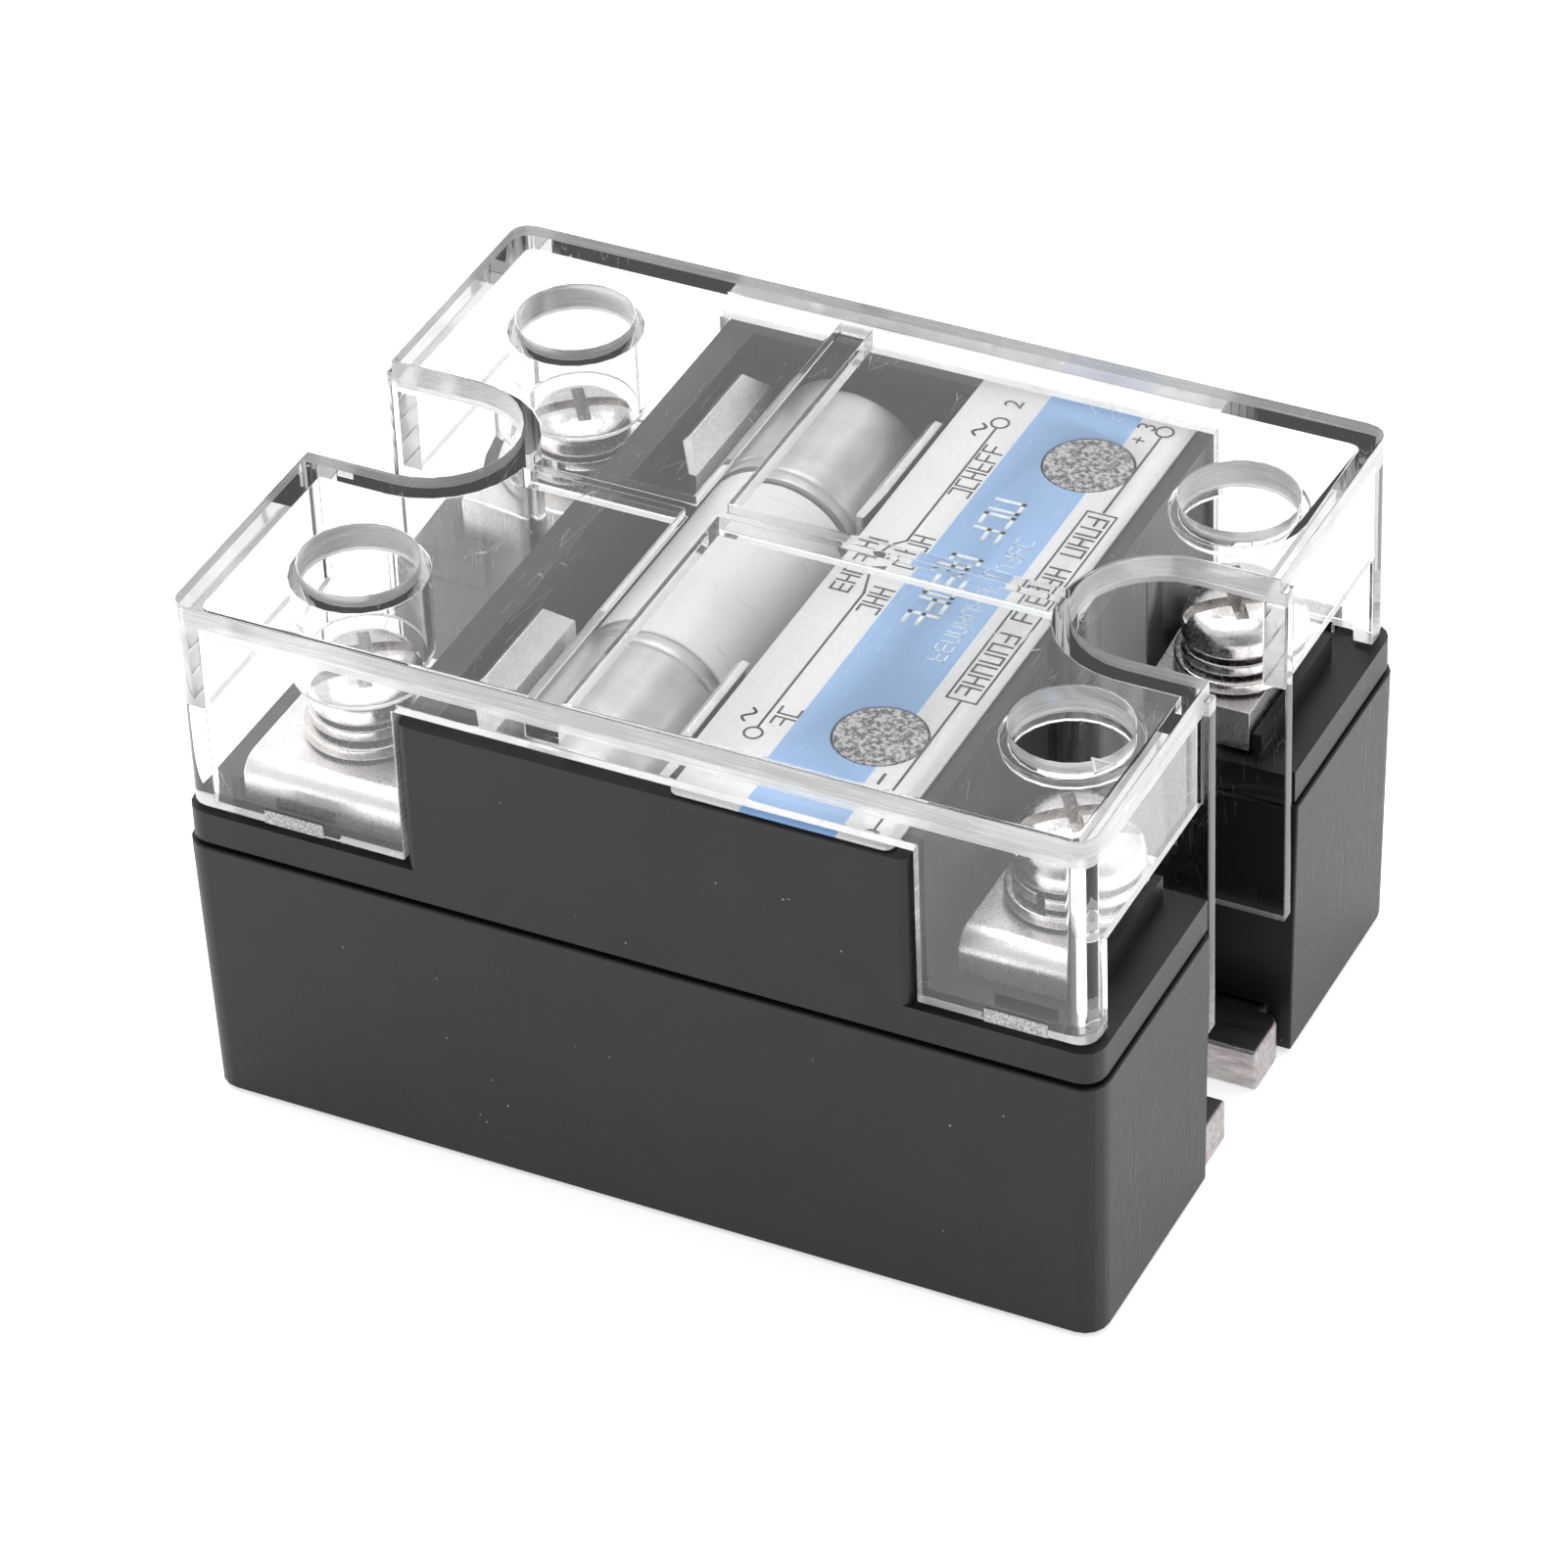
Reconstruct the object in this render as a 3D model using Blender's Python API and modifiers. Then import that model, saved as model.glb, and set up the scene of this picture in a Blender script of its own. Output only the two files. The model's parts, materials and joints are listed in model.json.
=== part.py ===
"""Panel-mount solid state relay: an aluminium base plate, a two-part black case, a clear lift-off
cover, four screw terminals and a cartridge fuse in two spring clips.

Frame: origin at the centre of the base plate's underside, +Z up, +X towards the control terminals
(3 and 4) and -X towards the load terminals (1 and 2). Units are metres.
"""

import math

import bmesh
import bpy
from mathutils import Matrix, Vector

mm = 0.001

# ---- overall sizes -----------------------------------------------------------------------------
CASE_LENGTH = 60.0 * mm
CASE_WIDTH = 45.5 * mm
SPLIT_HEIGHT = 19.1 * mm          # top of the lower case
BAY_FLOOR = 21.6 * mm             # floor of the terminal bays on the lid
BLOCK_TOP = 32.2 * mm             # top of the raised centre block
COVER_TOP = 36.5 * mm

# ---- clearances --------------------------------------------------------------------------------
GAP = 0.3 * mm                    # between large pieces that touch
THIN_GAP = 0.2 * mm               # inside a screw stack and between small electrical pieces
LABEL_GAP = 0.1 * mm

# ---- base plate and mounting notches -----------------------------------------------------------
PLATE_THICKNESS = 3.0 * mm
NOTCH_PITCH = 47.6 * mm           # distance between the two mounting screws
NOTCH_SHIFT = 0.2 * mm            # the pair of notches sits this far towards the control end
SCREW_SLOT_HALF = 2.35 * mm       # half width of the slot for an M4 mounting screw
CASE_NOTCH_RADIUS = 6.65 * mm
PLATE_TONGUE_INSET = 0.8 * mm     # the plate's prongs end this far inside the case's ends

# ---- lower case --------------------------------------------------------------------------------
CASE_WALL = 1.6 * mm
NOTCH_WALL = 1.4 * mm
CASE_CORNER = 1.6 * mm
CASE_DRAFT = 0.3 * mm             # how much each side leans in at the bottom
CASE_FOOT = 0.25 * mm             # the case stops this far above the plate's underside

# ---- upper case (lid and raised block) ---------------------------------------------------------
LID_INSET = 0.2 * mm              # the lid is this much smaller on each side than the lower case
LID_RIM_DEPTH = 1.5 * mm
LID_RIM_WALL = 1.0 * mm
BLOCK_RIGHT = 18.1 * mm
BLOCK_CORNER = 0.6 * mm
BLOCK_WALL = 1.3 * mm
POCKET_CLEARANCE = 0.7 * mm       # from the clips' lips to the pocket's sides
POCKET_SIDE_WALL = 2.0 * mm       # between the pocket and the load terminals
POCKET_END_WALL = 1.6 * mm
POCKET_FLOOR = 18.6 * mm
POCKET_FLOOR_THICKNESS = 1.4 * mm
RIDGE_HEIGHT = 1.7 * mm
RIDGE_THICKNESS = 0.6 * mm

# ---- clear cover -------------------------------------------------------------------------------
COVER_INSET = (0.45 * mm, 0.65 * mm, 0.5 * mm)   # inside the case's load end, control end, sides
COVER_PLATE = 1.9 * mm
COVER_WALL = 1.3 * mm
COVER_CORNER = 1.2 * mm
SKIRT_WALL = 1.0 * mm
SKIRT_CLEARANCE = 0.35 * mm       # from the skirt to the case's notch
SKIRT_BOTTOM = 11.2 * mm
SKIRT_STEP = 22.0 * mm            # below this height the skirt reaches a little further out
SKIRT_REACH = 0.4 * mm
END_WINDOW_TOP = 28.3 * mm        # the wire windows in the end walls open below this height
END_POST = 2.3 * mm               # corner post beside each wire window
RIB_DEPTH = 1.5 * mm
LONG_RIB = 1.3 * mm               # rib along X, between the two notches
CROSS_RIB = 2.1 * mm              # rib along Y, over the fuse
CROSS_RIB_X = -5.4 * mm
DRIVER_HOLE_CLEARANCE = 0.35 * mm  # round the screw's head
SLEEVE_WALL = 0.55 * mm
LOAD_SLEEVE_BOTTOM = 28.9 * mm
CONTROL_SLEEVE_BOTTOM = 33.9 * mm
TAB_LENGTH = 4.0 * mm
TAB_THICKNESS = 0.7 * mm
TAB_DEPTH = 1.1 * mm

# ---- terminals ---------------------------------------------------------------------------------
TERMINAL_TOP = 24.7 * mm
LOAD_SCREW_INSET = (8.7 * mm, 8.75 * mm)         # from the case's end and from its side
CONTROL_SCREW_INSET = (6.2 * mm, 10.55 * mm)
LOAD_BLOCK_INSET = (3.4 * mm, 2.75 * mm)
CONTROL_BLOCK_INSET = (3.4 * mm, 4.55 * mm)
LOAD_BLOCK_GAP = (0.4 * mm, 1.55 * mm)           # from the raised block and from the notch
CONTROL_BLOCK_GAP = (1.3 * mm, 0.95 * mm)
SHOULDER_RADIUS = 1.4 * mm
LEG_BOTTOM = 17.2 * mm
LOAD_LEG_INSET = (1.2 * mm, 1.5 * mm)            # from the terminal's inner end and outer side
LOAD_LEG_SIZE = (1.0 * mm, 3.0 * mm)
CONTROL_LEG_INSET = (0.3 * mm, 1.0 * mm)
CONTROL_LEG_SIZE = (0.9 * mm, 2.4 * mm)

# ---- terminal screws (M4 x 10) -----------------------------------------------------------------
THREAD_RADIUS = 2.0 * mm
SHANK_LENGTH = 10.0 * mm
HEAD_RADIUS = 3.3 * mm
HEAD_HEIGHT = 2.2 * mm
FLAT_WASHER = (3.8 * mm, 0.8 * mm)
SPRING_WASHER = (3.35 * mm, 0.9 * mm)

# ---- fuse and its clips ------------------------------------------------------------------------
FUSE_X = -4.9 * mm
FUSE_RADIUS = 5.15 * mm
FUSE_LENGTH = 38.0 * mm
CAP_LENGTH = 10.5 * mm
CAP_WALL = 0.45 * mm
TUBE_STEP = 0.15 * mm             # from the caps down to the tube
FUSE_CLEARANCE = 0.55 * mm        # over the heads of the clips' rivets
TUBE_BORE = 3.3 * mm
LINK_SIZE = (1.6 * mm, 0.2 * mm)
CLIP_Y = 13.4 * mm
CLIP_WIDTH = 10.6 * mm
CLIP_SHEET = 0.5 * mm
CLIP_LIP_RISE = 5.7 * mm          # lip tips above the fuse's axis
CLIP_LIP_SPREAD = 1.15 * mm
CLIP_LIP_CHAMFER = 1.5 * mm
CLIP_BASE_HALF = 2.9 * mm
RIVET_RADIUS = 1.5 * mm
RIVET_HEAD_RADIUS = 2.1 * mm
RIVET_HEAD = 0.7 * mm

# ---- label and windows -------------------------------------------------------------------------
LABEL_MARGIN = 0.15 * mm          # from the fuse pocket
LABEL_THICKNESS = 0.2 * mm
WINDOW_RADIUS = 2.75 * mm
WINDOW_MARGIN = 0.15 * mm         # from a window's flange to the side of the block's hollow
LED_WINDOW_Y = 15.5 * mm
BLANK_WINDOW_Y = -14.0 * mm

# ---- power stage and control board -------------------------------------------------------------
SUBSTRATE_MARGIN = 1.35 * mm                                   # to the notch walls
SUBSTRATE_SIDE_MARGIN = 1.65 * mm                              # to the case's side walls
SUBSTRATE_THICKNESS = 1.0 * mm
PAD_THICKNESS = 0.4 * mm
CHIP_SIDE = 8.0 * mm
CHIP_THICKNESS = 0.6 * mm
BUSBAR_SHEET = 0.8 * mm
BRIDGE_SHEET = 0.4 * mm
BOARD_LEFT = -1.5 * mm
BOARD_SIDE_MARGIN = 2.55 * mm                                  # to the case's side walls
BOARD_MARGIN = 0.55 * mm                                       # to the notch wall
BOARD_BOTTOM = 12.0 * mm
BOARD_THICKNESS = 1.6 * mm
POTTING = (8.2 * mm, 11.5 * mm)                                # bottom and top heights
GATE_WIRE_X = 5.2 * mm            # where the gate wires leave the board, from the substrate's middle
GATE_WIRE_Y = 5.6 * mm

# ---- values worked out from the ones above ------------------------------------------------------
HALF_LENGTH = CASE_LENGTH / 2
HALF_WIDTH = CASE_WIDTH / 2
NOTCH_X = {-1: NOTCH_SHIFT - NOTCH_PITCH / 2, 1: NOTCH_SHIFT + NOTCH_PITCH / 2}
LID_HALF_LENGTH = HALF_LENGTH - LID_INSET
LID_HALF_WIDTH = HALF_WIDTH - LID_INSET
LID_BOTTOM = SPLIT_HEIGHT + GAP
CAVITY_BOTTOM = PLATE_THICKNESS + GAP
INSIDE_HALF_WIDTH = HALF_WIDTH - CASE_WALL - CASE_DRAFT
RIM_OUTSIDE = CASE_WALL + CASE_DRAFT + GAP
RIM_INSIDE = RIM_OUTSIDE + LID_RIM_WALL
COVER_LEFT = COVER_INSET[0] - HALF_LENGTH
COVER_RIGHT = HALF_LENGTH - COVER_INSET[1]
COVER_HALF_WIDTH = HALF_WIDTH - COVER_INSET[2]
COVER_BOTTOM = BAY_FLOOR + GAP
COVER_UNDER_PLATE = COVER_TOP - COVER_PLATE
COVER_NOTCH_RADIUS = CASE_NOTCH_RADIUS - SKIRT_WALL - SKIRT_CLEARANCE
DRIVER_HOLE_RADIUS = HEAD_RADIUS + DRIVER_HOLE_CLEARANCE
BLOCK_HALF_WIDTH = LID_HALF_WIDTH
LABEL_BOTTOM = BLOCK_TOP + LABEL_GAP
LABEL_TOP = LABEL_BOTTOM + LABEL_THICKNESS
CLIP_RADIUS = FUSE_RADIUS + THIN_GAP + CLIP_SHEET / 2
POCKET_REACH = CLIP_RADIUS + CLIP_LIP_SPREAD + CLIP_SHEET / 2 + POCKET_CLEARANCE
POCKET_LEFT = FUSE_X - POCKET_REACH
POCKET_RIGHT = FUSE_X + POCKET_REACH
POCKET_HALF_WIDTH = BLOCK_HALF_WIDTH - POCKET_END_WALL
BLOCK_LEFT = POCKET_LEFT - POCKET_SIDE_WALL
HOLLOW_LEFT = POCKET_RIGHT + BLOCK_WALL
HOLLOW_RIGHT = NOTCH_X[1] - CASE_NOTCH_RADIUS - BLOCK_WALL
LABEL_LEFT = POCKET_RIGHT + LABEL_MARGIN
LABEL_RIGHT = NOTCH_X[1] - CASE_NOTCH_RADIUS - GAP
WINDOW_X = HOLLOW_RIGHT - WINDOW_RADIUS - 2 * GAP - WINDOW_MARGIN
LED_WINDOW = (WINDOW_X, LED_WINDOW_Y)
BLANK_WINDOW = (WINDOW_X, BLANK_WINDOW_Y)
LOAD_SCREW = (LOAD_SCREW_INSET[0] - HALF_LENGTH, HALF_WIDTH - LOAD_SCREW_INSET[1])
CONTROL_SCREW = (HALF_LENGTH - CONTROL_SCREW_INSET[0], HALF_WIDTH - CONTROL_SCREW_INSET[1])
LOAD_BLOCK = (LOAD_BLOCK_INSET[0] - HALF_LENGTH, BLOCK_LEFT - LOAD_BLOCK_GAP[0],       # x, x
              CASE_NOTCH_RADIUS + LOAD_BLOCK_GAP[1], HALF_WIDTH - LOAD_BLOCK_INSET[1])  # |y|, |y|
CONTROL_BLOCK = (BLOCK_RIGHT + CONTROL_BLOCK_GAP[0], HALF_LENGTH - CONTROL_BLOCK_INSET[0],
                 CASE_NOTCH_RADIUS + CONTROL_BLOCK_GAP[1], HALF_WIDTH - CONTROL_BLOCK_INSET[1])
LOAD_LEG = (LOAD_BLOCK[1] - LOAD_LEG_INSET[0] - LOAD_LEG_SIZE[0], LOAD_BLOCK[1] - LOAD_LEG_INSET[0],
            LOAD_BLOCK[3] - LOAD_LEG_INSET[1] - LOAD_LEG_SIZE[1], LOAD_BLOCK[3] - LOAD_LEG_INSET[1])
CONTROL_LEG = (CONTROL_BLOCK[0] + CONTROL_LEG_INSET[0],
               CONTROL_BLOCK[0] + CONTROL_LEG_INSET[0] + CONTROL_LEG_SIZE[0],
               CONTROL_BLOCK[3] - CONTROL_LEG_INSET[1] - CONTROL_LEG_SIZE[1],
               CONTROL_BLOCK[3] - CONTROL_LEG_INSET[1])
TERMINAL_BOTTOM = BAY_FLOOR + GAP
FLAT_WASHER_Z = TERMINAL_TOP + THIN_GAP
SPRING_WASHER_Z = FLAT_WASHER_Z + FLAT_WASHER[1] + THIN_GAP
HEAD_Z = SPRING_WASHER_Z + SPRING_WASHER[1] + THIN_GAP
BUSBAR_Z = POCKET_FLOOR - POCKET_FLOOR_THICKNESS - GAP - BUSBAR_SHEET / 2
CLIP_BASE_Z = POCKET_FLOOR + GAP + CLIP_SHEET / 2
RIVET_SEAT = CLIP_BASE_Z + CLIP_SHEET / 2 + THIN_GAP
FUSE_Z = RIVET_SEAT + RIVET_HEAD + FUSE_CLEARANCE + FUSE_RADIUS
TUBE_RADIUS = FUSE_RADIUS - TUBE_STEP
NOTCH_WALL_X = {side: NOTCH_X[side] - side * (CASE_NOTCH_RADIUS + NOTCH_WALL) for side in (-1, 1)}
SUBSTRATE_X = {side: NOTCH_WALL_X[side] - side * SUBSTRATE_MARGIN for side in (-1, 1)}
SUBSTRATE_HALF_WIDTH = INSIDE_HALF_WIDTH - SUBSTRATE_SIDE_MARGIN
BOARD_RIGHT = NOTCH_WALL_X[1] - BOARD_MARGIN
BOARD_HALF_WIDTH = INSIDE_HALF_WIDTH - BOARD_SIDE_MARGIN
SUBSTRATE_TOP = PLATE_THICKNESS + GAP + SUBSTRATE_THICKNESS
PAD_BOTTOM = SUBSTRATE_TOP + THIN_GAP
PAD_TOP = PAD_BOTTOM + PAD_THICKNESS
CHIP_BOTTOM = PAD_TOP + THIN_GAP
CHIP_TOP = CHIP_BOTTOM + CHIP_THICKNESS
BOARD_TOP = BOARD_BOTTOM + BOARD_THICKNESS

for old in list(bpy.data.objects):
    bpy.data.objects.remove(old, do_unlink=True)
PARTS = bpy.data.collections.new("solid_state_relay")
CUTTERS = bpy.data.collections.new("cutters")
for collection in (PARTS, CUTTERS):
    bpy.context.scene.collection.children.link(collection)


# ---- materials ---------------------------------------------------------------------------------
def material(name, color, roughness, metallic=0.0, alpha=1.0):
    made = bpy.data.materials.new(name)
    made.use_nodes = True
    shader = made.node_tree.nodes["Principled BSDF"]
    shader.inputs["Base Color"].default_value = (*color, 1.0)
    shader.inputs["Roughness"].default_value = roughness
    shader.inputs["Metallic"].default_value = metallic
    shader.inputs["Alpha"].default_value = alpha
    return made


BLACK_PLASTIC = material("black_plastic", (0.035, 0.035, 0.037), 0.5)
CLEAR_PLASTIC = material("clear_plastic", (0.95, 0.96, 0.97), 0.05, alpha=0.3)
ALUMINIUM = material("aluminium", (0.76, 0.76, 0.77), 0.35, 1.0)
TINNED_BRASS = material("tinned_brass", (0.75, 0.73, 0.72), 0.3, 1.0)
PLATED_STEEL = material("plated_steel", (0.7, 0.7, 0.7), 0.25, 1.0)
COPPER = material("copper", (0.85, 0.5, 0.35), 0.3, 1.0)
CERAMIC = material("ceramic", (0.9, 0.89, 0.86), 0.4)
LABEL_PAPER = material("label_paper", (0.88, 0.88, 0.88), 0.6)
FROSTED_GREY = material("frosted_grey", (0.35, 0.35, 0.35), 0.7)
CHIP_GREY = material("chip_grey", (0.2, 0.2, 0.24), 0.2, 0.5)
BOARD_GREEN = material("board_green", (0.03, 0.22, 0.08), 0.4)
COMPONENT_BLACK = material("component_black", (0.02, 0.02, 0.02), 0.4)
RESISTOR_BLUE = material("resistor_blue", (0.2, 0.42, 0.6), 0.4)
CAPACITOR_YELLOW = material("capacitor_yellow", (0.75, 0.55, 0.1), 0.4)
LED_RED = material("led_red", (0.8, 0.05, 0.03), 0.2)
RESIN = material("resin", (0.12, 0.12, 0.13), 0.3)


# ---- modelling helpers -------------------------------------------------------------------------
def finish(name, shape, finish_material, where=(0, 0, 0), collection=PARTS):
    """Turns a bmesh into an object of that name, in the given collection."""
    mesh = bpy.data.meshes.new(name)
    shape.to_mesh(mesh)
    shape.free()
    made = bpy.data.objects.new(name, mesh)
    made.location = where
    if finish_material:
        mesh.materials.append(finish_material)
    collection.objects.link(made)
    if collection is CUTTERS:
        made.hide_render = True
        made.display_type = "WIRE"
    return made


def box(name, low, high, finish_material=None, collection=PARTS, where=(0, 0, 0)):
    shape = bmesh.new()
    bmesh.ops.create_cube(shape, size=1)
    for vert in shape.verts:
        vert.co = [high[axis] if vert.co[axis] > 0 else low[axis] for axis in range(3)]
    return finish(name, shape, finish_material, where, collection)


def rod(name, radius, bottom, top, where, finish_material=None, collection=PARTS, segments=24):
    """An upright cylinder between two heights, on the axis through where (x, y)."""
    shape = bmesh.new()
    place = Matrix.Translation((0, 0, (bottom + top) / 2))
    bmesh.ops.create_cone(shape, cap_ends=True, segments=segments, radius1=radius, radius2=radius,
                          depth=top - bottom, matrix=place)
    return finish(name, shape, finish_material, (*where, 0), collection)


def prism(name, outline, bottom, top, finish_material=None, collection=PARTS, axis="Z", draft=(1, 1)):
    """Extrudes a flat outline from bottom to top; draft scales the bottom end about the origin."""
    shape = bmesh.new()
    face = shape.faces.new([shape.verts.new((u, v, top)) for u, v in outline])
    grown = bmesh.ops.extrude_face_region(shape, geom=[face])
    lower = [item for item in grown["geom"] if isinstance(item, bmesh.types.BMVert)]
    for vert in lower:
        vert.co = (vert.co.x * draft[0], vert.co.y * draft[1], bottom)
    if axis == "X":
        shape.transform(Matrix(((0, 0, 1, 0), (1, 0, 0, 0), (0, 1, 0, 0), (0, 0, 0, 1))))
    bmesh.ops.recalc_face_normals(shape, faces=shape.faces)
    return finish(name, shape, finish_material, (0, 0, 0), collection)


def turned(name, profile, where, finish_material, closed=False, steps=24, rotation=(0, 0, 0)):
    """Turns a profile of (radius, height) points about the upright axis through where."""
    shape = bmesh.new()
    points = [shape.verts.new((radius, 0, height)) for radius, height in profile]
    for first, second in zip(points, points[1:] + (points[:1] if closed else [])):
        shape.edges.new((first, second))
    made = finish(name, shape, finish_material, where)
    made.rotation_euler = rotation
    screw = made.modifiers.new("turn", "SCREW")
    screw.steps = screw.render_steps = steps
    screw.use_merge_vertices = True
    screw.merge_threshold = 0.00001
    return made


def sheet(name, path, start_y, end_y, thickness, finish_material):
    """A strip of sheet metal: a path of (x, z) points drawn out along Y and given its thickness."""
    shape = bmesh.new()
    verts = [shape.verts.new((x, start_y, z)) for x, z in path]
    edges = [shape.edges.new(pair) for pair in zip(verts, verts[1:])]
    grown = bmesh.ops.extrude_edge_only(shape, edges=edges)
    moved = [item for item in grown["geom"] if isinstance(item, bmesh.types.BMVert)]
    bmesh.ops.translate(shape, verts=moved, vec=(0, end_y - start_y, 0))
    made = finish(name, shape, finish_material)
    solidify = made.modifiers.new("thickness", "SOLIDIFY")
    solidify.thickness = thickness
    solidify.offset = 0
    solidify.use_even_offset = True
    return made


def combine(target, other, operation):
    """Cuts the other object from the target, or joins it on, and keeps it as a hidden helper."""
    for owner in list(other.users_collection):
        owner.objects.unlink(other)
    CUTTERS.objects.link(other)
    other.hide_render = True
    other.display_type = "WIRE"
    boolean = target.modifiers.new(operation.lower(), "BOOLEAN")
    boolean.operation = operation
    boolean.object = other
    boolean.solver = "EXACT"


def cut(target, *others):
    for other in others:
        combine(target, other, "DIFFERENCE")


def join(target, *others):
    for other in others:
        combine(target, other, "UNION")


def bevel(target, width, segments=2, angle=40):
    modifier = target.modifiers.new("bevel", "BEVEL")
    modifier.width = width
    modifier.segments = segments
    modifier.limit_method = "ANGLE"
    modifier.angle_limit = math.radians(angle)


def arc(centre, radius, start, end, steps):
    """Points on an arc, in degrees, both ends included."""
    angles = [math.radians(start + (end - start) * index / steps) for index in range(steps + 1)]
    return [(centre[0] + radius * math.cos(a), centre[1] + radius * math.sin(a)) for a in angles]


def rounded_rectangle(left, right, front, back, radius, steps=4):
    return (arc((left + radius, front + radius), radius, 180, 270, steps)
            + arc((right - radius, front + radius), radius, 270, 360, steps)
            + arc((right - radius, back - radius), radius, 0, 90, steps)
            + arc((left + radius, back - radius), radius, 90, 180, steps))


def notched_rectangle(left, right, half_width, corner, notch):
    """A rounded rectangle with a round-ended mounting notch in the middle of each short end."""
    front_corners = (arc((left + corner, corner - half_width), corner, 180, 270, 4)
                     + arc((right - corner, corner - half_width), corner, 270, 360, 4))
    right_notch = [(right, -notch)] + arc((NOTCH_X[1], 0), notch, 270, 90, 14) + [(right, notch)]
    back_corners = (arc((right - corner, half_width - corner), corner, 0, 90, 4)
                    + arc((left + corner, half_width - corner), corner, 90, 180, 4))
    left_notch = [(left, notch)] + arc((NOTCH_X[-1], 0), notch, 90, -90, 14) + [(left, -notch)]
    return front_corners + right_notch + back_corners + left_notch


def notch_outline(side, radius, mouth):
    """The outline of one mounting notch, out to x = mouth."""
    centre = NOTCH_X[side]
    start, end = (90, 270) if side > 0 else (-90, 90)
    return [(mouth, -side * radius), (mouth, side * radius)] + arc((centre, 0), radius, start, end, 14)


def signed(pair_low, pair_high, side):
    """Orders two distances from the centre line on the given side, front (-1) or back (1)."""
    return tuple(sorted((pair_low * side, pair_high * side)))


# ---- base plate and case -----------------------------------------------------------------------
def base_plate():
    wall = CASE_WALL + CASE_DRAFT + GAP
    plate = prism("base_plate",
                  rounded_rectangle(wall - HALF_LENGTH, HALF_LENGTH - wall, wall - HALF_WIDTH,
                                    HALF_WIDTH - wall, CASE_CORNER / 2),
                  0, PLATE_THICKNESS, ALUMINIUM)
    reach = HALF_LENGTH - PLATE_TONGUE_INSET
    half = CASE_NOTCH_RADIUS - GAP
    tongue = rounded_rectangle(-reach, reach, -half, half, 1.0 * mm)
    join(plate, prism("plate_tongue", tongue, 0, PLATE_THICKNESS))
    for side in (-1, 1):
        slot = notch_outline(side, SCREW_SLOT_HALF, side * (HALF_LENGTH + mm))
        cut(plate, prism("mounting_slot", slot, -mm, PLATE_THICKNESS + mm, collection=CUTTERS))
    return plate


def lower_case():
    outline = notched_rectangle(-HALF_LENGTH, HALF_LENGTH, HALF_WIDTH, CASE_CORNER, CASE_NOTCH_RADIUS)
    draft = (1 - CASE_DRAFT / HALF_LENGTH, 1 - CASE_DRAFT / HALF_WIDTH)
    case = prism("lower_case", outline, CASE_FOOT, SPLIT_HEIGHT, BLACK_PLASTIC, draft=draft)
    inside = CASE_WALL + CASE_DRAFT
    cavity = notched_rectangle(inside - HALF_LENGTH, HALF_LENGTH - inside, HALF_WIDTH - inside,
                               CASE_CORNER / 2, CASE_NOTCH_RADIUS + NOTCH_WALL)
    cut(case, prism("case_cavity", cavity, CAVITY_BOTTOM, SPLIT_HEIGHT + mm, collection=CUTTERS))
    pocket = rounded_rectangle(inside - HALF_LENGTH, HALF_LENGTH - inside, inside - HALF_WIDTH,
                               HALF_WIDTH - inside, CASE_CORNER / 2)
    cut(case, prism("plate_pocket", pocket, -mm, CAVITY_BOTTOM + 0.01 * mm, collection=CUTTERS))
    return case


def lid_rim():
    """The locating rim under the lid, which drops inside the lower case."""
    notch = CASE_NOTCH_RADIUS + NOTCH_WALL + GAP
    rim = prism("lid_rim", notched_rectangle(RIM_OUTSIDE - HALF_LENGTH, HALF_LENGTH - RIM_OUTSIDE,
                                             HALF_WIDTH - RIM_OUTSIDE, CASE_CORNER / 2, notch),
                LID_BOTTOM - LID_RIM_DEPTH, LID_BOTTOM + mm / 2)
    hole = notched_rectangle(RIM_INSIDE - HALF_LENGTH, HALF_LENGTH - RIM_INSIDE, HALF_WIDTH - RIM_INSIDE,
                             CASE_CORNER / 4, notch + LID_RIM_WALL)
    cut(rim, prism("rim_inside", hole, LID_BOTTOM - 2 * LID_RIM_DEPTH, LID_BOTTOM + mm,
                   collection=CUTTERS))
    return rim


def bay_ridge(side_x, side_y):
    """The low wall on the bay floor just outside a terminal block."""
    block = CONTROL_BLOCK if side_x > 0 else LOAD_BLOCK
    edge = block[1] if side_x > 0 else block[0]
    near = edge + side_x * THIN_GAP
    far = near + side_x * RIDGE_THICKNESS
    front, back = signed(block[2], block[3], side_y)
    return box("bay_ridge", (min(near, far), front, BAY_FLOOR - mm), (max(near, far), back,
                                                                       BAY_FLOOR + RIDGE_HEIGHT))


def snap_tab_places():
    """Centre x of the snap tabs on each long side of the cover."""
    return ((COVER_LEFT + BLOCK_LEFT) / 2 + 0.6 * mm, (COVER_RIGHT + BLOCK_RIGHT) / 2 + 0.5 * mm)


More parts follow.
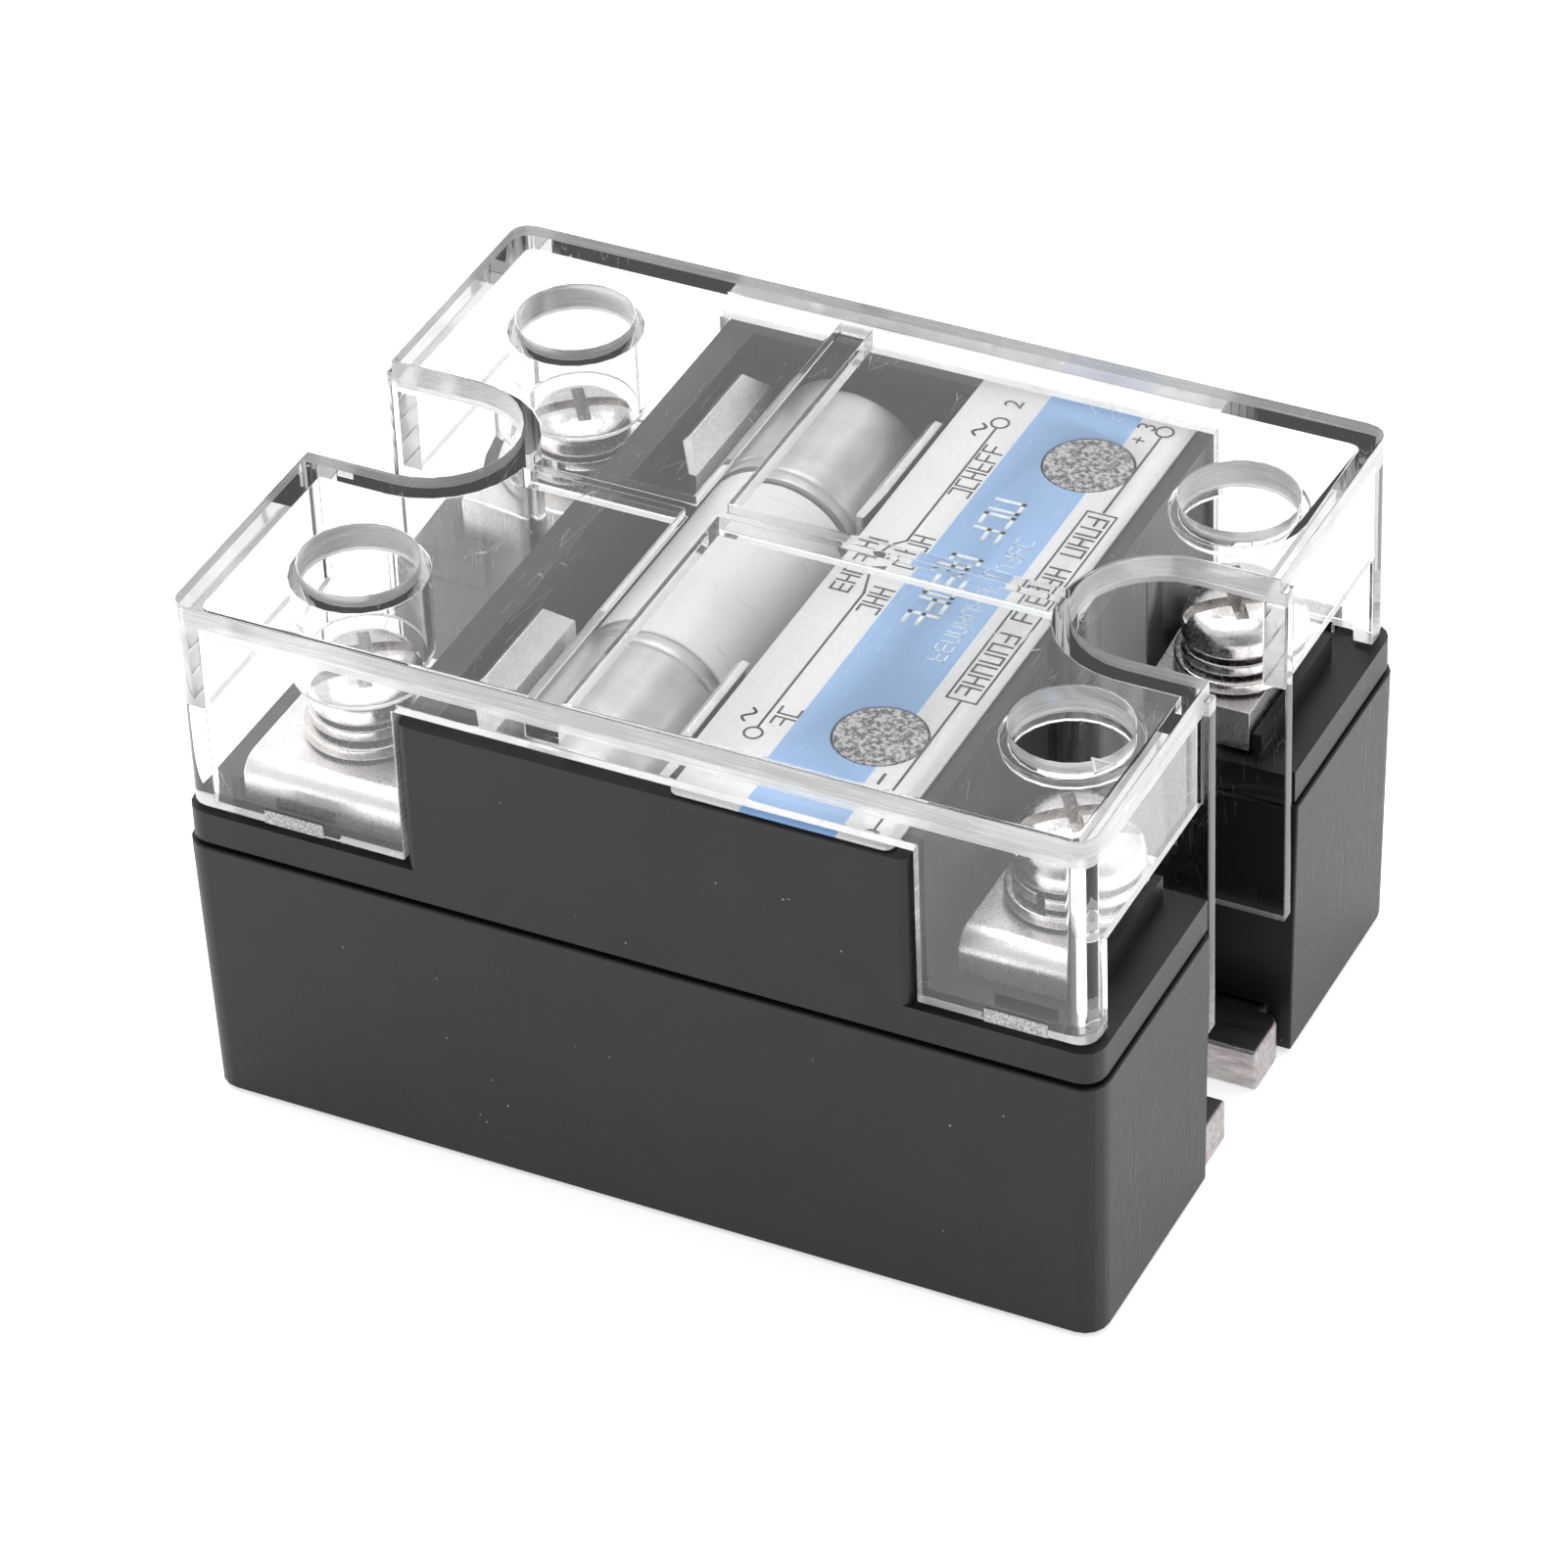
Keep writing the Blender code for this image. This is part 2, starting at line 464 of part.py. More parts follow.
def upper_case():
    outline = notched_rectangle(-LID_HALF_LENGTH, LID_HALF_LENGTH, LID_HALF_WIDTH,
                                CASE_CORNER - LID_INSET, CASE_NOTCH_RADIUS)
    lid = prism("upper_case", outline, LID_BOTTOM, BAY_FLOOR, BLACK_PLASTIC)
    block = rounded_rectangle(BLOCK_LEFT, BLOCK_RIGHT, -BLOCK_HALF_WIDTH, BLOCK_HALF_WIDTH, BLOCK_CORNER)
    tray_half = INSIDE_HALF_WIDTH - 2 * GAP
    tray_bottom = POCKET_FLOOR - POCKET_FLOOR_THICKNESS
    join(lid,
         prism("raised_block", block, LID_BOTTOM + mm / 2, BLOCK_TOP),
         lid_rim(),
         box("pocket_tray", (BLOCK_LEFT + mm / 2, -tray_half, tray_bottom),
             (HOLLOW_LEFT, tray_half, LID_BOTTOM + mm)),
         *[bay_ridge(side_x, side_y) for side_x in (-1, 1) for side_y in (-1, 1)])
    hollow_half = HALF_WIDTH - RIM_INSIDE
    cut(lid,
        prism("right_notch", notch_outline(1, CASE_NOTCH_RADIUS, HALF_LENGTH + mm), LID_BOTTOM - mm,
              BLOCK_TOP + mm, collection=CUTTERS),
        box("fuse_pocket", (POCKET_LEFT, -POCKET_HALF_WIDTH, POCKET_FLOOR),
            (POCKET_RIGHT, POCKET_HALF_WIDTH, BLOCK_TOP + mm)),
        box("block_hollow", (HOLLOW_LEFT, -hollow_half, LID_BOTTOM - 2 * LID_RIM_DEPTH),
            (HOLLOW_RIGHT, hollow_half, BLOCK_TOP - BLOCK_WALL)))
    for x, y in (LED_WINDOW, BLANK_WINDOW):
        cut(lid, rod("window_hole", WINDOW_RADIUS + GAP, BLOCK_TOP - 2 * BLOCK_WALL, BLOCK_TOP + mm, (x, y)))
    for side in (-1, 1):
        cut(lid, rod("rivet_hole", RIVET_RADIUS + GAP, tray_bottom - mm, POCKET_FLOOR + mm,
                     (FUSE_X, side * CLIP_Y)))
        for (x, y), leg in ((LOAD_SCREW, LOAD_LEG), (CONTROL_SCREW, CONTROL_LEG)):
            cut(lid, rod("screw_hole", THREAD_RADIUS + GAP, LID_BOTTOM - 2 * LID_RIM_DEPTH, BAY_FLOOR + mm,
                         (x, side * y)))
            front, back = signed(leg[2] - GAP, leg[3] + GAP, side)
            cut(lid, box("leg_hole", (leg[0] - GAP, front, LID_BOTTOM - mm),
                         (leg[1] + GAP, back, BAY_FLOOR + mm)))
        for x in snap_tab_places():
            front, back = signed(COVER_HALF_WIDTH - COVER_WALL - GAP,
                                 COVER_HALF_WIDTH - COVER_WALL + TAB_THICKNESS + GAP, side)
            cut(lid, box("snap_slot", (x - TAB_LENGTH / 2 - GAP, front, COVER_BOTTOM - TAB_DEPTH - GAP),
                         (x + TAB_LENGTH / 2 + GAP, back, BAY_FLOOR + mm)))
    return lid


# ---- clear cover -------------------------------------------------------------------------------
def notch_skirt(side, bottom, reach):
    """The U-shaped wall that lines one notch, from bottom up into the cover's top plate."""
    mouth = COVER_RIGHT if side > 0 else COVER_LEFT
    outer = notch_outline(side, COVER_NOTCH_RADIUS + SKIRT_WALL, mouth + side * reach)
    return prism("notch_skirt", outer, bottom, COVER_TOP - COVER_PLATE / 2)


def cover_walls():
    """The outer walls as one ring, before the windows are cut."""
    ring = prism("cover_walls",
                 rounded_rectangle(COVER_LEFT, COVER_RIGHT, -COVER_HALF_WIDTH, COVER_HALF_WIDTH,
                                   COVER_CORNER),
                 COVER_BOTTOM, COVER_TOP - COVER_PLATE / 2)
    cut(ring,
        prism("cover_inside",
              rounded_rectangle(COVER_LEFT + COVER_WALL, COVER_RIGHT - COVER_WALL,
                                COVER_WALL - COVER_HALF_WIDTH, COVER_HALF_WIDTH - COVER_WALL,
                                COVER_CORNER / 2),
              COVER_BOTTOM - mm, COVER_TOP, collection=CUTTERS),
        box("block_opening", (BLOCK_LEFT - GAP, -HALF_WIDTH, COVER_BOTTOM - mm),
            (BLOCK_RIGHT + GAP, HALF_WIDTH, LABEL_TOP + GAP)),
        box("wire_window", (-HALF_LENGTH, END_POST - COVER_HALF_WIDTH, COVER_BOTTOM - mm),
            (HALF_LENGTH, COVER_HALF_WIDTH - END_POST, END_WINDOW_TOP)))
    return ring


def clear_cover():
    cover = prism("clear_cover",
                  rounded_rectangle(COVER_LEFT, COVER_RIGHT, -COVER_HALF_WIDTH, COVER_HALF_WIDTH,
                                    COVER_CORNER),
                  COVER_UNDER_PLATE, COVER_TOP, CLEAR_PLASTIC)
    rib_bottom = COVER_UNDER_PLATE - RIB_DEPTH
    rib_top = COVER_UNDER_PLATE + COVER_PLATE / 2
    join(cover,
         cover_walls(),
         box("long_rib", (NOTCH_X[-1], -LONG_RIB / 2, rib_bottom), (NOTCH_X[1], LONG_RIB / 2, rib_top)),
         box("cross_rib", (CROSS_RIB_X - CROSS_RIB / 2, COVER_WALL / 2 - COVER_HALF_WIDTH, rib_bottom),
             (CROSS_RIB_X + CROSS_RIB / 2, COVER_HALF_WIDTH - COVER_WALL / 2, rib_top)))
    for side in (-1, 1):
        join(cover, notch_skirt(side, SKIRT_STEP, 0), notch_skirt(side, SKIRT_BOTTOM, SKIRT_REACH))
        for (x, y), bottom in ((LOAD_SCREW, LOAD_SLEEVE_BOTTOM), (CONTROL_SCREW, CONTROL_SLEEVE_BOTTOM)):
            join(cover, rod("driver_sleeve", DRIVER_HOLE_RADIUS + SLEEVE_WALL, bottom, rib_top,
                            (x, side * y)))
        for x in snap_tab_places():
            front, back = signed(COVER_HALF_WIDTH - COVER_WALL, COVER_HALF_WIDTH - COVER_WALL
                                 + TAB_THICKNESS, side)
            join(cover, box("snap_tab", (x - TAB_LENGTH / 2, front, COVER_BOTTOM - TAB_DEPTH),
                            (x + TAB_LENGTH / 2, back, COVER_BOTTOM + mm)))
    for side in (-1, 1):
        cut(cover, prism("cover_notch", notch_outline(side, COVER_NOTCH_RADIUS, side * (HALF_LENGTH + mm)),
                         SKIRT_BOTTOM - mm, COVER_TOP + mm, collection=CUTTERS))
        for x, y in (LOAD_SCREW, CONTROL_SCREW):
            cut(cover, rod("driver_hole", DRIVER_HOLE_RADIUS, LOAD_SLEEVE_BOTTOM - mm, COVER_TOP + mm,
                           (x, side * y)))
    return cover


# ---- terminals ---------------------------------------------------------------------------------
def terminal(number, block, leg, screw, side):
    """A plated terminal block with a rounded outer shoulder, its screw hole and its leg."""
    near, far = block[2] * side, block[3] * side
    shoulder = (far - side * SHOULDER_RADIUS, TERMINAL_TOP - SHOULDER_RADIUS)
    rounding = arc(shoulder, SHOULDER_RADIUS, 90, 90 - side * 90, 6)
    outline = [(near, TERMINAL_BOTTOM), (near, TERMINAL_TOP)] + rounding + [(far, TERMINAL_BOTTOM)]
    made = prism(f"terminal_{number}", outline, block[0], block[1], TINNED_BRASS, axis="X")
    front, back = signed(leg[2], leg[3], side)
    join(made, box("terminal_leg", (leg[0], front, LEG_BOTTOM), (leg[1], back, TERMINAL_BOTTOM + mm)))
    cut(made, rod("terminal_thread", THREAD_RADIUS + GAP, TERMINAL_BOTTOM - mm, TERMINAL_TOP + mm,
                  (screw[0], screw[1] * side)))
    return made


def terminal_screw(number, screw, side):
    """A pan head screw with a slot and a cross recess; its origin lies on its own axis."""
    top = HEAD_Z + HEAD_HEIGHT
    dome = [(0, top), (0.45 * HEAD_RADIUS, top), (0.8 * HEAD_RADIUS, top - 0.15 * HEAD_HEIGHT),
            (HEAD_RADIUS, top - 0.5 * HEAD_HEIGHT), (HEAD_RADIUS, HEAD_Z)]
    tip = HEAD_Z - SHANK_LENGTH
    shank = [(THREAD_RADIUS, HEAD_Z), (THREAD_RADIUS, tip + THREAD_RADIUS / 4),
             (0.75 * THREAD_RADIUS, tip), (0, tip)]
    where = (screw[0], screw[1] * side, 0)
    made = turned(f"terminal_screw_{number}", dome + shank, where, PLATED_STEEL)
    for length, width, depth, turn in ((2 * HEAD_RADIUS + mm, 0.9 * mm, 1.0 * mm, 0),
                                       (3.6 * mm, 0.9 * mm, 1.4 * mm, 90)):
        recess = box("drive_recess", (-length / 2, -width / 2, top - depth),
                     (length / 2, width / 2, top + mm), where=where)
        recess.rotation_euler = (0, 0, math.radians(35 + turn))
        cut(made, recess)
    return made


def flat_washer(number, screw, side):
    radius, height = FLAT_WASHER
    bore = THREAD_RADIUS + THIN_GAP
    profile = [(radius, FLAT_WASHER_Z + height), (radius, FLAT_WASHER_Z), (bore, FLAT_WASHER_Z),
               (bore, FLAT_WASHER_Z + height)]
    return turned(f"flat_washer_{number}", profile, (screw[0], screw[1] * side, 0), PLATED_STEEL, True)


def spring_washer(number, screw, side):
    """A split ring: the slanting cut through it is what makes it a spring."""
    radius, height = SPRING_WASHER
    bore = THREAD_RADIUS + THIN_GAP
    profile = [(radius, SPRING_WASHER_Z + height), (radius, SPRING_WASHER_Z), (bore, SPRING_WASHER_Z),
               (bore, SPRING_WASHER_Z + height)]
    where = (screw[0], screw[1] * side, 0)
    made = turned(f"spring_washer_{number}", profile, where, PLATED_STEEL, True)
    split = box("washer_split", (bore / 2, -0.3 * mm, -mm), (radius + mm, 0.3 * mm, mm),
                where=(where[0], where[1], SPRING_WASHER_Z + height / 2))
    split.rotation_euler = (math.radians(30), 0, 0)
    cut(made, split)
    return made


# ---- fuse and clips ----------------------------------------------------------------------------
def fuse_tube():
    half = FUSE_LENGTH / 2
    shoulder = half - CAP_LENGTH - GAP
    end = half - CAP_WALL - GAP
    spigot = FUSE_RADIUS - CAP_WALL - THIN_GAP
    profile = [(spigot, end), (spigot, shoulder), (TUBE_RADIUS, shoulder), (TUBE_RADIUS, -shoulder),
               (spigot, -shoulder), (spigot, -end), (TUBE_BORE, -end), (TUBE_BORE, end)]
    return turned("fuse_tube", profile, (FUSE_X, 0, FUSE_Z), CERAMIC, True, 36, (math.radians(90), 0, 0))


def fuse_cap(name, side):
    half = FUSE_LENGTH / 2
    edge = 0.5 * mm
    inner = FUSE_RADIUS - CAP_WALL
    profile = ([(0, half)] + [(r, z) for r, z in arc((FUSE_RADIUS - edge, half - edge), edge, 90, 0, 3)]
               + [(FUSE_RADIUS, half - CAP_LENGTH), (inner, half - CAP_LENGTH), (inner, half - CAP_WALL),
                  (0, half - CAP_WALL)])
    turn = math.radians(-90 * side)
    return turned(name, profile, (FUSE_X, 0, FUSE_Z), PLATED_STEEL, False, 36, (turn, 0, 0))


def fuse_link():
    """The melting strip inside the ceramic tube, with a narrow neck at its middle."""
    half = FUSE_LENGTH / 2 - CAP_WALL - 2 * GAP
    width, thickness = LINK_SIZE
    neck = 0.5 * mm
    outline = [(-width / 2, -half), (width / 2, -half), (width / 2, -neck), (width / 4, 0),
               (width / 2, neck), (width / 2, half), (-width / 2, half), (-width / 2, neck),
               (-width / 4, 0), (-width / 2, -neck)]
    made = prism("fuse_link", outline, -thickness / 2, thickness / 2, COPPER)
    made.location = (FUSE_X, 0, FUSE_Z)
    return made


def clip_path():
    """The clip's section in (x, z): lip, arm round the fuse, base, and the same on the other side."""
    lower = arc((0, 0), CLIP_RADIUS, 180, 240, 6)
    left = [(-CLIP_RADIUS - CLIP_LIP_SPREAD, CLIP_LIP_RISE),
            (-CLIP_RADIUS, CLIP_LIP_RISE - 1.3 * CLIP_LIP_SPREAD)] + lower
    left.append((-CLIP_BASE_HALF, CLIP_BASE_Z - FUSE_Z))
    return [(FUSE_X + x, FUSE_Z + z) for x, z in left + [(-x, z) for x, z in reversed(left)]]


def fuse_clip(name, side):
    front = side * CLIP_Y - CLIP_WIDTH / 2
    clip = sheet(name, clip_path(), front, front + CLIP_WIDTH, CLIP_SHEET, TINNED_BRASS)
    reach = CLIP_RADIUS + 2 * CLIP_LIP_SPREAD
    for end in (-1, 1):
        corner = Vector((FUSE_X, side * CLIP_Y + end * CLIP_WIDTH / 2, FUSE_Z + CLIP_LIP_RISE))
        chamfer = box("lip_chamfer", (-reach, -CLIP_LIP_CHAMFER, -CLIP_LIP_CHAMFER * math.sqrt(0.5)),
                      (reach, CLIP_LIP_CHAMFER, CLIP_LIP_CHAMFER), where=corner)
        chamfer.rotation_euler = (math.radians(-45 * end), 0, 0)
        cut(clip, chamfer)
    cut(clip, rod("clip_hole", RIVET_RADIUS + THIN_GAP, CLIP_BASE_Z - mm, CLIP_BASE_Z + mm,
                  (FUSE_X, side * CLIP_Y)))
    return clip


def clip_rivet(name, side):
    top = RIVET_SEAT
    under = BUSBAR_Z - BUSBAR_SHEET / 2 - THIN_GAP
    profile = [(0, top + RIVET_HEAD), (0.6 * RIVET_HEAD_RADIUS, top + RIVET_HEAD), (RIVET_HEAD_RADIUS, top),
               (RIVET_RADIUS, top), (RIVET_RADIUS, under), (RIVET_HEAD_RADIUS, under),
               (0.6 * RIVET_HEAD_RADIUS, under - RIVET_HEAD), (0, under - RIVET_HEAD)]
    return turned(name, profile, (FUSE_X, side * CLIP_Y, 0), TINNED_BRASS, steps=20)


# ---- label and windows -------------------------------------------------------------------------
def label():
    made = prism("label", rounded_rectangle(LABEL_LEFT, LABEL_RIGHT, GAP - BLOCK_HALF_WIDTH,
                                            BLOCK_HALF_WIDTH - GAP, BLOCK_CORNER),
                 LABEL_BOTTOM, LABEL_TOP, LABEL_PAPER)
    for centre in (LED_WINDOW, BLANK_WINDOW):
        cut(made, rod("label_hole", WINDOW_RADIUS + THIN_GAP, BLOCK_TOP - mm, LABEL_TOP + mm, centre))
    return made


def window(name, centre):
    """A frosted disc pushed up through the roof of the block; its flange stays underneath."""
    roof = BLOCK_TOP - BLOCK_WALL - GAP
    flange = WINDOW_RADIUS + 2 * GAP
    profile = [(0, LABEL_TOP), (WINDOW_RADIUS, LABEL_TOP), (WINDOW_RADIUS, roof), (flange, roof),
               (flange, roof - 2 * GAP), (0, roof - 2 * GAP)]
    return turned(name, profile, (*centre, 0), FROSTED_GREY)


# ---- power stage -------------------------------------------------------------------------------
def power_stage():
    left, right, half = SUBSTRATE_X[-1], SUBSTRATE_X[1], SUBSTRATE_HALF_WIDTH
    box("ceramic_substrate", (left, -half, SUBSTRATE_TOP - SUBSTRATE_THICKNESS), (right, half, SUBSTRATE_TOP),
        CERAMIC)
    middle = (left + right) / 2
    rear_busbar_edge = CLIP_Y + 2.0 * mm
    margin = 0.8 * mm
    box("copper_pad_1", (left + margin, -half + margin, PAD_BOTTOM),
        (middle - margin, rear_busbar_edge, PAD_TOP), COPPER)
    box("copper_pad_2", (middle + margin, -half + margin, PAD_BOTTOM),
        (right - margin, half - margin, PAD_TOP), COPPER)
    for number, side in ((1, -1), (2, 1)):
        near = middle + side * 4.0 * mm
        far = near + side * CHIP_SIDE
        chip = box(f"thyristor_{number}", (min(near, far), -CHIP_SIDE / 2, CHIP_BOTTOM),
                   (max(near, far), CHIP_SIDE / 2, CHIP_TOP), CHIP_GREY)
        bevel(chip, 0.1 * mm, 1)
        chip_bridge(number, side, middle)
        gate_wire(number, side, middle)


def chip_bridge(number, side, middle):
    """A copper strap from the top of one thyristor over to the other one's pad."""
    on_chip = CHIP_TOP + THIN_GAP + BRIDGE_SHEET / 2
    on_pad = PAD_TOP + THIN_GAP + BRIDGE_SHEET / 2
    arch = on_chip + 1.3 * mm
    path = [(9.0, on_chip), (4.6, on_chip), (3.2, arch), (-0.6, arch), (-1.6, on_pad), (-3.4, on_pad)]
    points = [(middle + side * x * mm, z) for x, z in path]
    front, back = signed(0.6 * mm, 3.4 * mm, -side)
    return sheet(f"chip_bridge_{number}", points, front, back, BRIDGE_SHEET, COPPER)


def gate_wire(number, side, middle):
    """A thin insulated wire from the board down to a thyristor's gate."""
    start = middle + GATE_WIRE_X
    y = GATE_WIRE_Y * side
    spline_points = [(start, y, BOARD_BOTTOM - THIN_GAP), (start, y, POTTING[0] - THIN_GAP)]
    if side < 0:
        spline_points += [(middle - 1.0 * mm, 6.4 * side * mm, CHIP_TOP + 1.7 * mm),
                          (middle - 6.2 * mm, 5.2 * side * mm, CHIP_TOP + 1.6 * mm)]
    else:
        spline_points += [(middle + 6.2 * mm, 4.8 * side * mm, CHIP_TOP + 1.5 * mm)]
    spline_points.append((middle + side * 7.0 * mm, 3.0 * side * mm, CHIP_TOP + 0.9 * mm))
    curve = bpy.data.curves.new(f"gate_wire_{number}", "CURVE")
    curve.dimensions = "3D"
    curve.bevel_depth = 0.35 * mm
    curve.bevel_resolution = 2
    curve.use_fill_caps = True
    spline = curve.splines.new("POLY")
    spline.points.add(len(spline_points) - 1)
    for point, place in zip(spline.points, spline_points):
        point.co = (*place, 1)
    curve.materials.append(RESISTOR_BLUE)
    PARTS.objects.link(bpy.data.objects.new(f"gate_wire_{number}", curve))


def busbars():
    """The load path: terminal 1 to the front clip, the rear clip to pad 1, terminal 2 to pad 2."""
    foot = PAD_TOP + THIN_GAP + BUSBAR_SHEET / 2
    strap = {"load_busbar_1": ([(LOAD_LEG[0] - mm / 2, BUSBAR_Z), (FUSE_X + 2.8 * mm, BUSBAR_Z)],
                               signed(CLIP_Y - 2.0 * mm, LOAD_LEG[3], -1)),
             "fuse_busbar": ([(FUSE_X + 2.8 * mm, BUSBAR_Z), (FUSE_X - 5.0 * mm, BUSBAR_Z),
                              (FUSE_X - 5.0 * mm, foot), (FUSE_X - 1.5 * mm, foot)],
                             signed(CLIP_Y - 2.0 * mm, CLIP_Y + 1.8 * mm, 1)),
             "load_busbar_2": ([(LOAD_LEG[0] - mm / 2, BUSBAR_Z), (LOAD_LEG[1] + mm, BUSBAR_Z),
                                (LOAD_LEG[1] + mm, foot + 2.2 * mm), (-1.0 * mm, foot + 2.2 * mm),
                                (1.8 * mm, foot), (6.0 * mm, foot)],
                               signed(LOAD_LEG[2] + 0.4 * mm, LOAD_LEG[3] - 0.2 * mm, 1))}
    for name, (path, (front, back)) in strap.items():
        made = sheet(name, path, front, back, BUSBAR_SHEET, COPPER)
        if name != "load_busbar_2":
            side = -1 if name == "load_busbar_1" else 1
            cut(made, rod("busbar_hole", RIVET_RADIUS + THIN_GAP, BUSBAR_Z - mm, BUSBAR_Z + mm,
                          (FUSE_X, side * CLIP_Y)))


# ---- control board -----------------------------------------------------------------------------
def input_lead(number, side):
    """The strip from a control terminal's leg to the board."""
    drop = LEG_BOTTOM - THIN_GAP - BRIDGE_SHEET / 2
    on_board = BOARD_TOP + THIN_GAP + BRIDGE_SHEET / 2
    bend = (BOARD_RIGHT + CONTROL_LEG[0]) / 2
    path = [(CONTROL_LEG[1], drop), (bend, drop), (bend, on_board), (BOARD_RIGHT - 1.4 * mm, on_board)]
    front, back = signed(CONTROL_LEG[2], CONTROL_LEG[3], side)
    return sheet(f"input_lead_{number}", path, front, back, BRIDGE_SHEET, TINNED_BRASS)


def resistor(name, x, y, radius, length, finish_material):
    """An axial resistor lying along Y, with the stubs of its two leads."""
    half = length / 2
    lead = 0.3 * mm
    profile = [(0, half + 1.2 * mm), (lead, half + 1.2 * mm), (lead, half), (radius * 0.8, half),
               (radius, half * 0.85), (radius, half * 0.55), (radius * 0.85, half * 0.45),
               (radius * 0.85, -half * 0.45), (radius, -half * 0.55), (radius, -half * 0.85),
               (radius * 0.8, -half), (lead, -half), (lead, -half - 1.2 * mm), (0, -half - 1.2 * mm)]
    place = (x, y, BOARD_TOP + THIN_GAP + radius)
    return turned(name, profile, place, finish_material, steps=12, rotation=(math.radians(90), 0, 0))


def optocoupler():
    bottom = BOARD_TOP + THIN_GAP + 0.5 * mm
    middle = BOARD_RIGHT - 4.8 * mm
    body = box("optocoupler", (middle - 3.2 * mm, -3.6 * mm, bottom),
               (middle + 3.2 * mm, 3.6 * mm, bottom + 3.3 * mm), COMPONENT_BLACK)
    bevel(body, 0.2 * mm, 1)
    for side in (-1, 1):
        for step in (-1, 0, 1):
            edge = middle + side * 3.1 * mm
            y = step * 2.54 * mm
            near, far = sorted((edge, edge + side * 1.0 * mm))
            join(body, box("pin", (near, y - 0.3 * mm, BOARD_TOP + THIN_GAP),
                           (far, y + 0.3 * mm, bottom + mm)))
    return body


def indicator_led():
    """A 3 mm lamp under the rear window, on two long leads up from the board."""
    x, y = LED_WINDOW
    top = BLOCK_TOP - BLOCK_WALL - GAP - 3 * GAP
    dome = [(r, z) for r, z in arc((0, top - 1.5 * mm), 1.5 * mm, 90, 0, 5)]
    profile = dome + [(1.5 * mm, top - 4.5 * mm), (1.8 * mm, top - 4.5 * mm), (1.8 * mm, top - 5.3 * mm),
                      (0, top - 5.3 * mm)]
    profile[0] = (0, top)
    made = turned("indicator_led", profile, (x, y, 0), LED_RED, steps=24)
    for side in (-1, 1):
        near = x + side * 0.9 * mm
        join(made, box("led_lead", (near - 0.25 * mm, y - 0.25 * mm, BOARD_TOP + THIN_GAP),
                       (near + 0.25 * mm, y + 0.25 * mm, top - 5.0 * mm)))
    return made


def control_board():
    box("control_board", (BOARD_LEFT, -BOARD_HALF_WIDTH, BOARD_BOTTOM),
        (BOARD_RIGHT, BOARD_HALF_WIDTH, BOARD_TOP), BOARD_GREEN)
    optocoupler()
    indicator_led()
    resistor("input_resistor", BOARD_RIGHT - 1.8 * mm, 8.5 * mm, 1.1 * mm, 6.2 * mm, RESISTOR_BLUE)
    resistor("gate_resistor_1", 2.4 * mm, -7.0 * mm, 0.9 * mm, 5.0 * mm, RESISTOR_BLUE)
    resistor("gate_resistor_2", 2.4 * mm, 3.0 * mm, 0.9 * mm, 5.0 * mm, RESISTOR_BLUE)
    resistor("snubber_resistor", BOARD_RIGHT - 8.8 * mm, -12.4 * mm, 1.6 * mm, 8.0 * mm, CERAMIC)
    foot = BOARD_TOP + THIN_GAP
    capacitor = box("snubber_capacitor", (BOARD_RIGHT - 6.6 * mm, -17.4 * mm, foot),
                    (BOARD_RIGHT - 1.8 * mm, -7.4 * mm, foot + 9.0 * mm), CAPACITOR_YELLOW)
    bevel(capacitor, 0.5 * mm)


def potting():
    """The resin layer between the power stage and the board, open where the conductors pass."""
    bottom, top = POTTING
    inside = CASE_WALL + CASE_DRAFT + GAP
    outline = notched_rectangle(inside - HALF_LENGTH, HALF_LENGTH - inside, HALF_WIDTH - inside,
                                CASE_CORNER / 2, CASE_NOTCH_RADIUS + NOTCH_WALL + GAP)
    made = prism("potting_resin", outline, bottom, top, RESIN)
    margin = mm
    rear_x = FUSE_X - 5.0 * mm
    front, back = signed(CLIP_Y - 2.0 * mm, CLIP_Y + 1.8 * mm, 1)
    cut(made, box("rear_gap", (rear_x - margin, front - GAP, bottom - mm),
                  (rear_x + margin, back + GAP, top + mm)))
    load_x = LOAD_LEG[1] + mm
    cut(made, box("load_gap", (load_x - margin, LOAD_LEG[2], bottom - mm),
                  (load_x + margin, LOAD_LEG[3] + GAP, top + mm)))
    middle = (SUBSTRATE_X[-1] + SUBSTRATE_X[1]) / 2
    for side in (-1, 1):
        cut(made, rod("wire_gap", 0.9 * mm, bottom - mm, top + mm,
                      (middle + GATE_WIRE_X, GATE_WIRE_Y * side), segments=16))
    return made


base_plate()
lower_case()
upper_case()
clear_cover()
label()
window("led_window", LED_WINDOW)
window("blank_window", BLANK_WINDOW)
TERMINALS = ((1, LOAD_BLOCK, LOAD_LEG, LOAD_SCREW, -1), (2, LOAD_BLOCK, LOAD_LEG, LOAD_SCREW, 1),
             (3, CONTROL_BLOCK, CONTROL_LEG, CONTROL_SCREW, 1),
             (4, CONTROL_BLOCK, CONTROL_LEG, CONTROL_SCREW, -1))
for terminal_number, terminal_block, terminal_leg, terminal_axis, terminal_side in TERMINALS:
    terminal(terminal_number, terminal_block, terminal_leg, terminal_axis, terminal_side)
    terminal_screw(terminal_number, terminal_axis, terminal_side)
    flat_washer(terminal_number, terminal_axis, terminal_side)
    spring_washer(terminal_number, terminal_axis, terminal_side)
fuse_tube()
fuse_link()
for place_name, place_side in (("front", -1), ("rear", 1)):
    fuse_cap(f"fuse_cap_{place_name}", place_side)
    fuse_clip(f"fuse_clip_{place_name}", place_side)
    clip_rivet(f"clip_rivet_{place_name}", place_side)
power_stage()
busbars()
control_board()
input_lead(3, 1)
input_lead(4, -1)
potting()

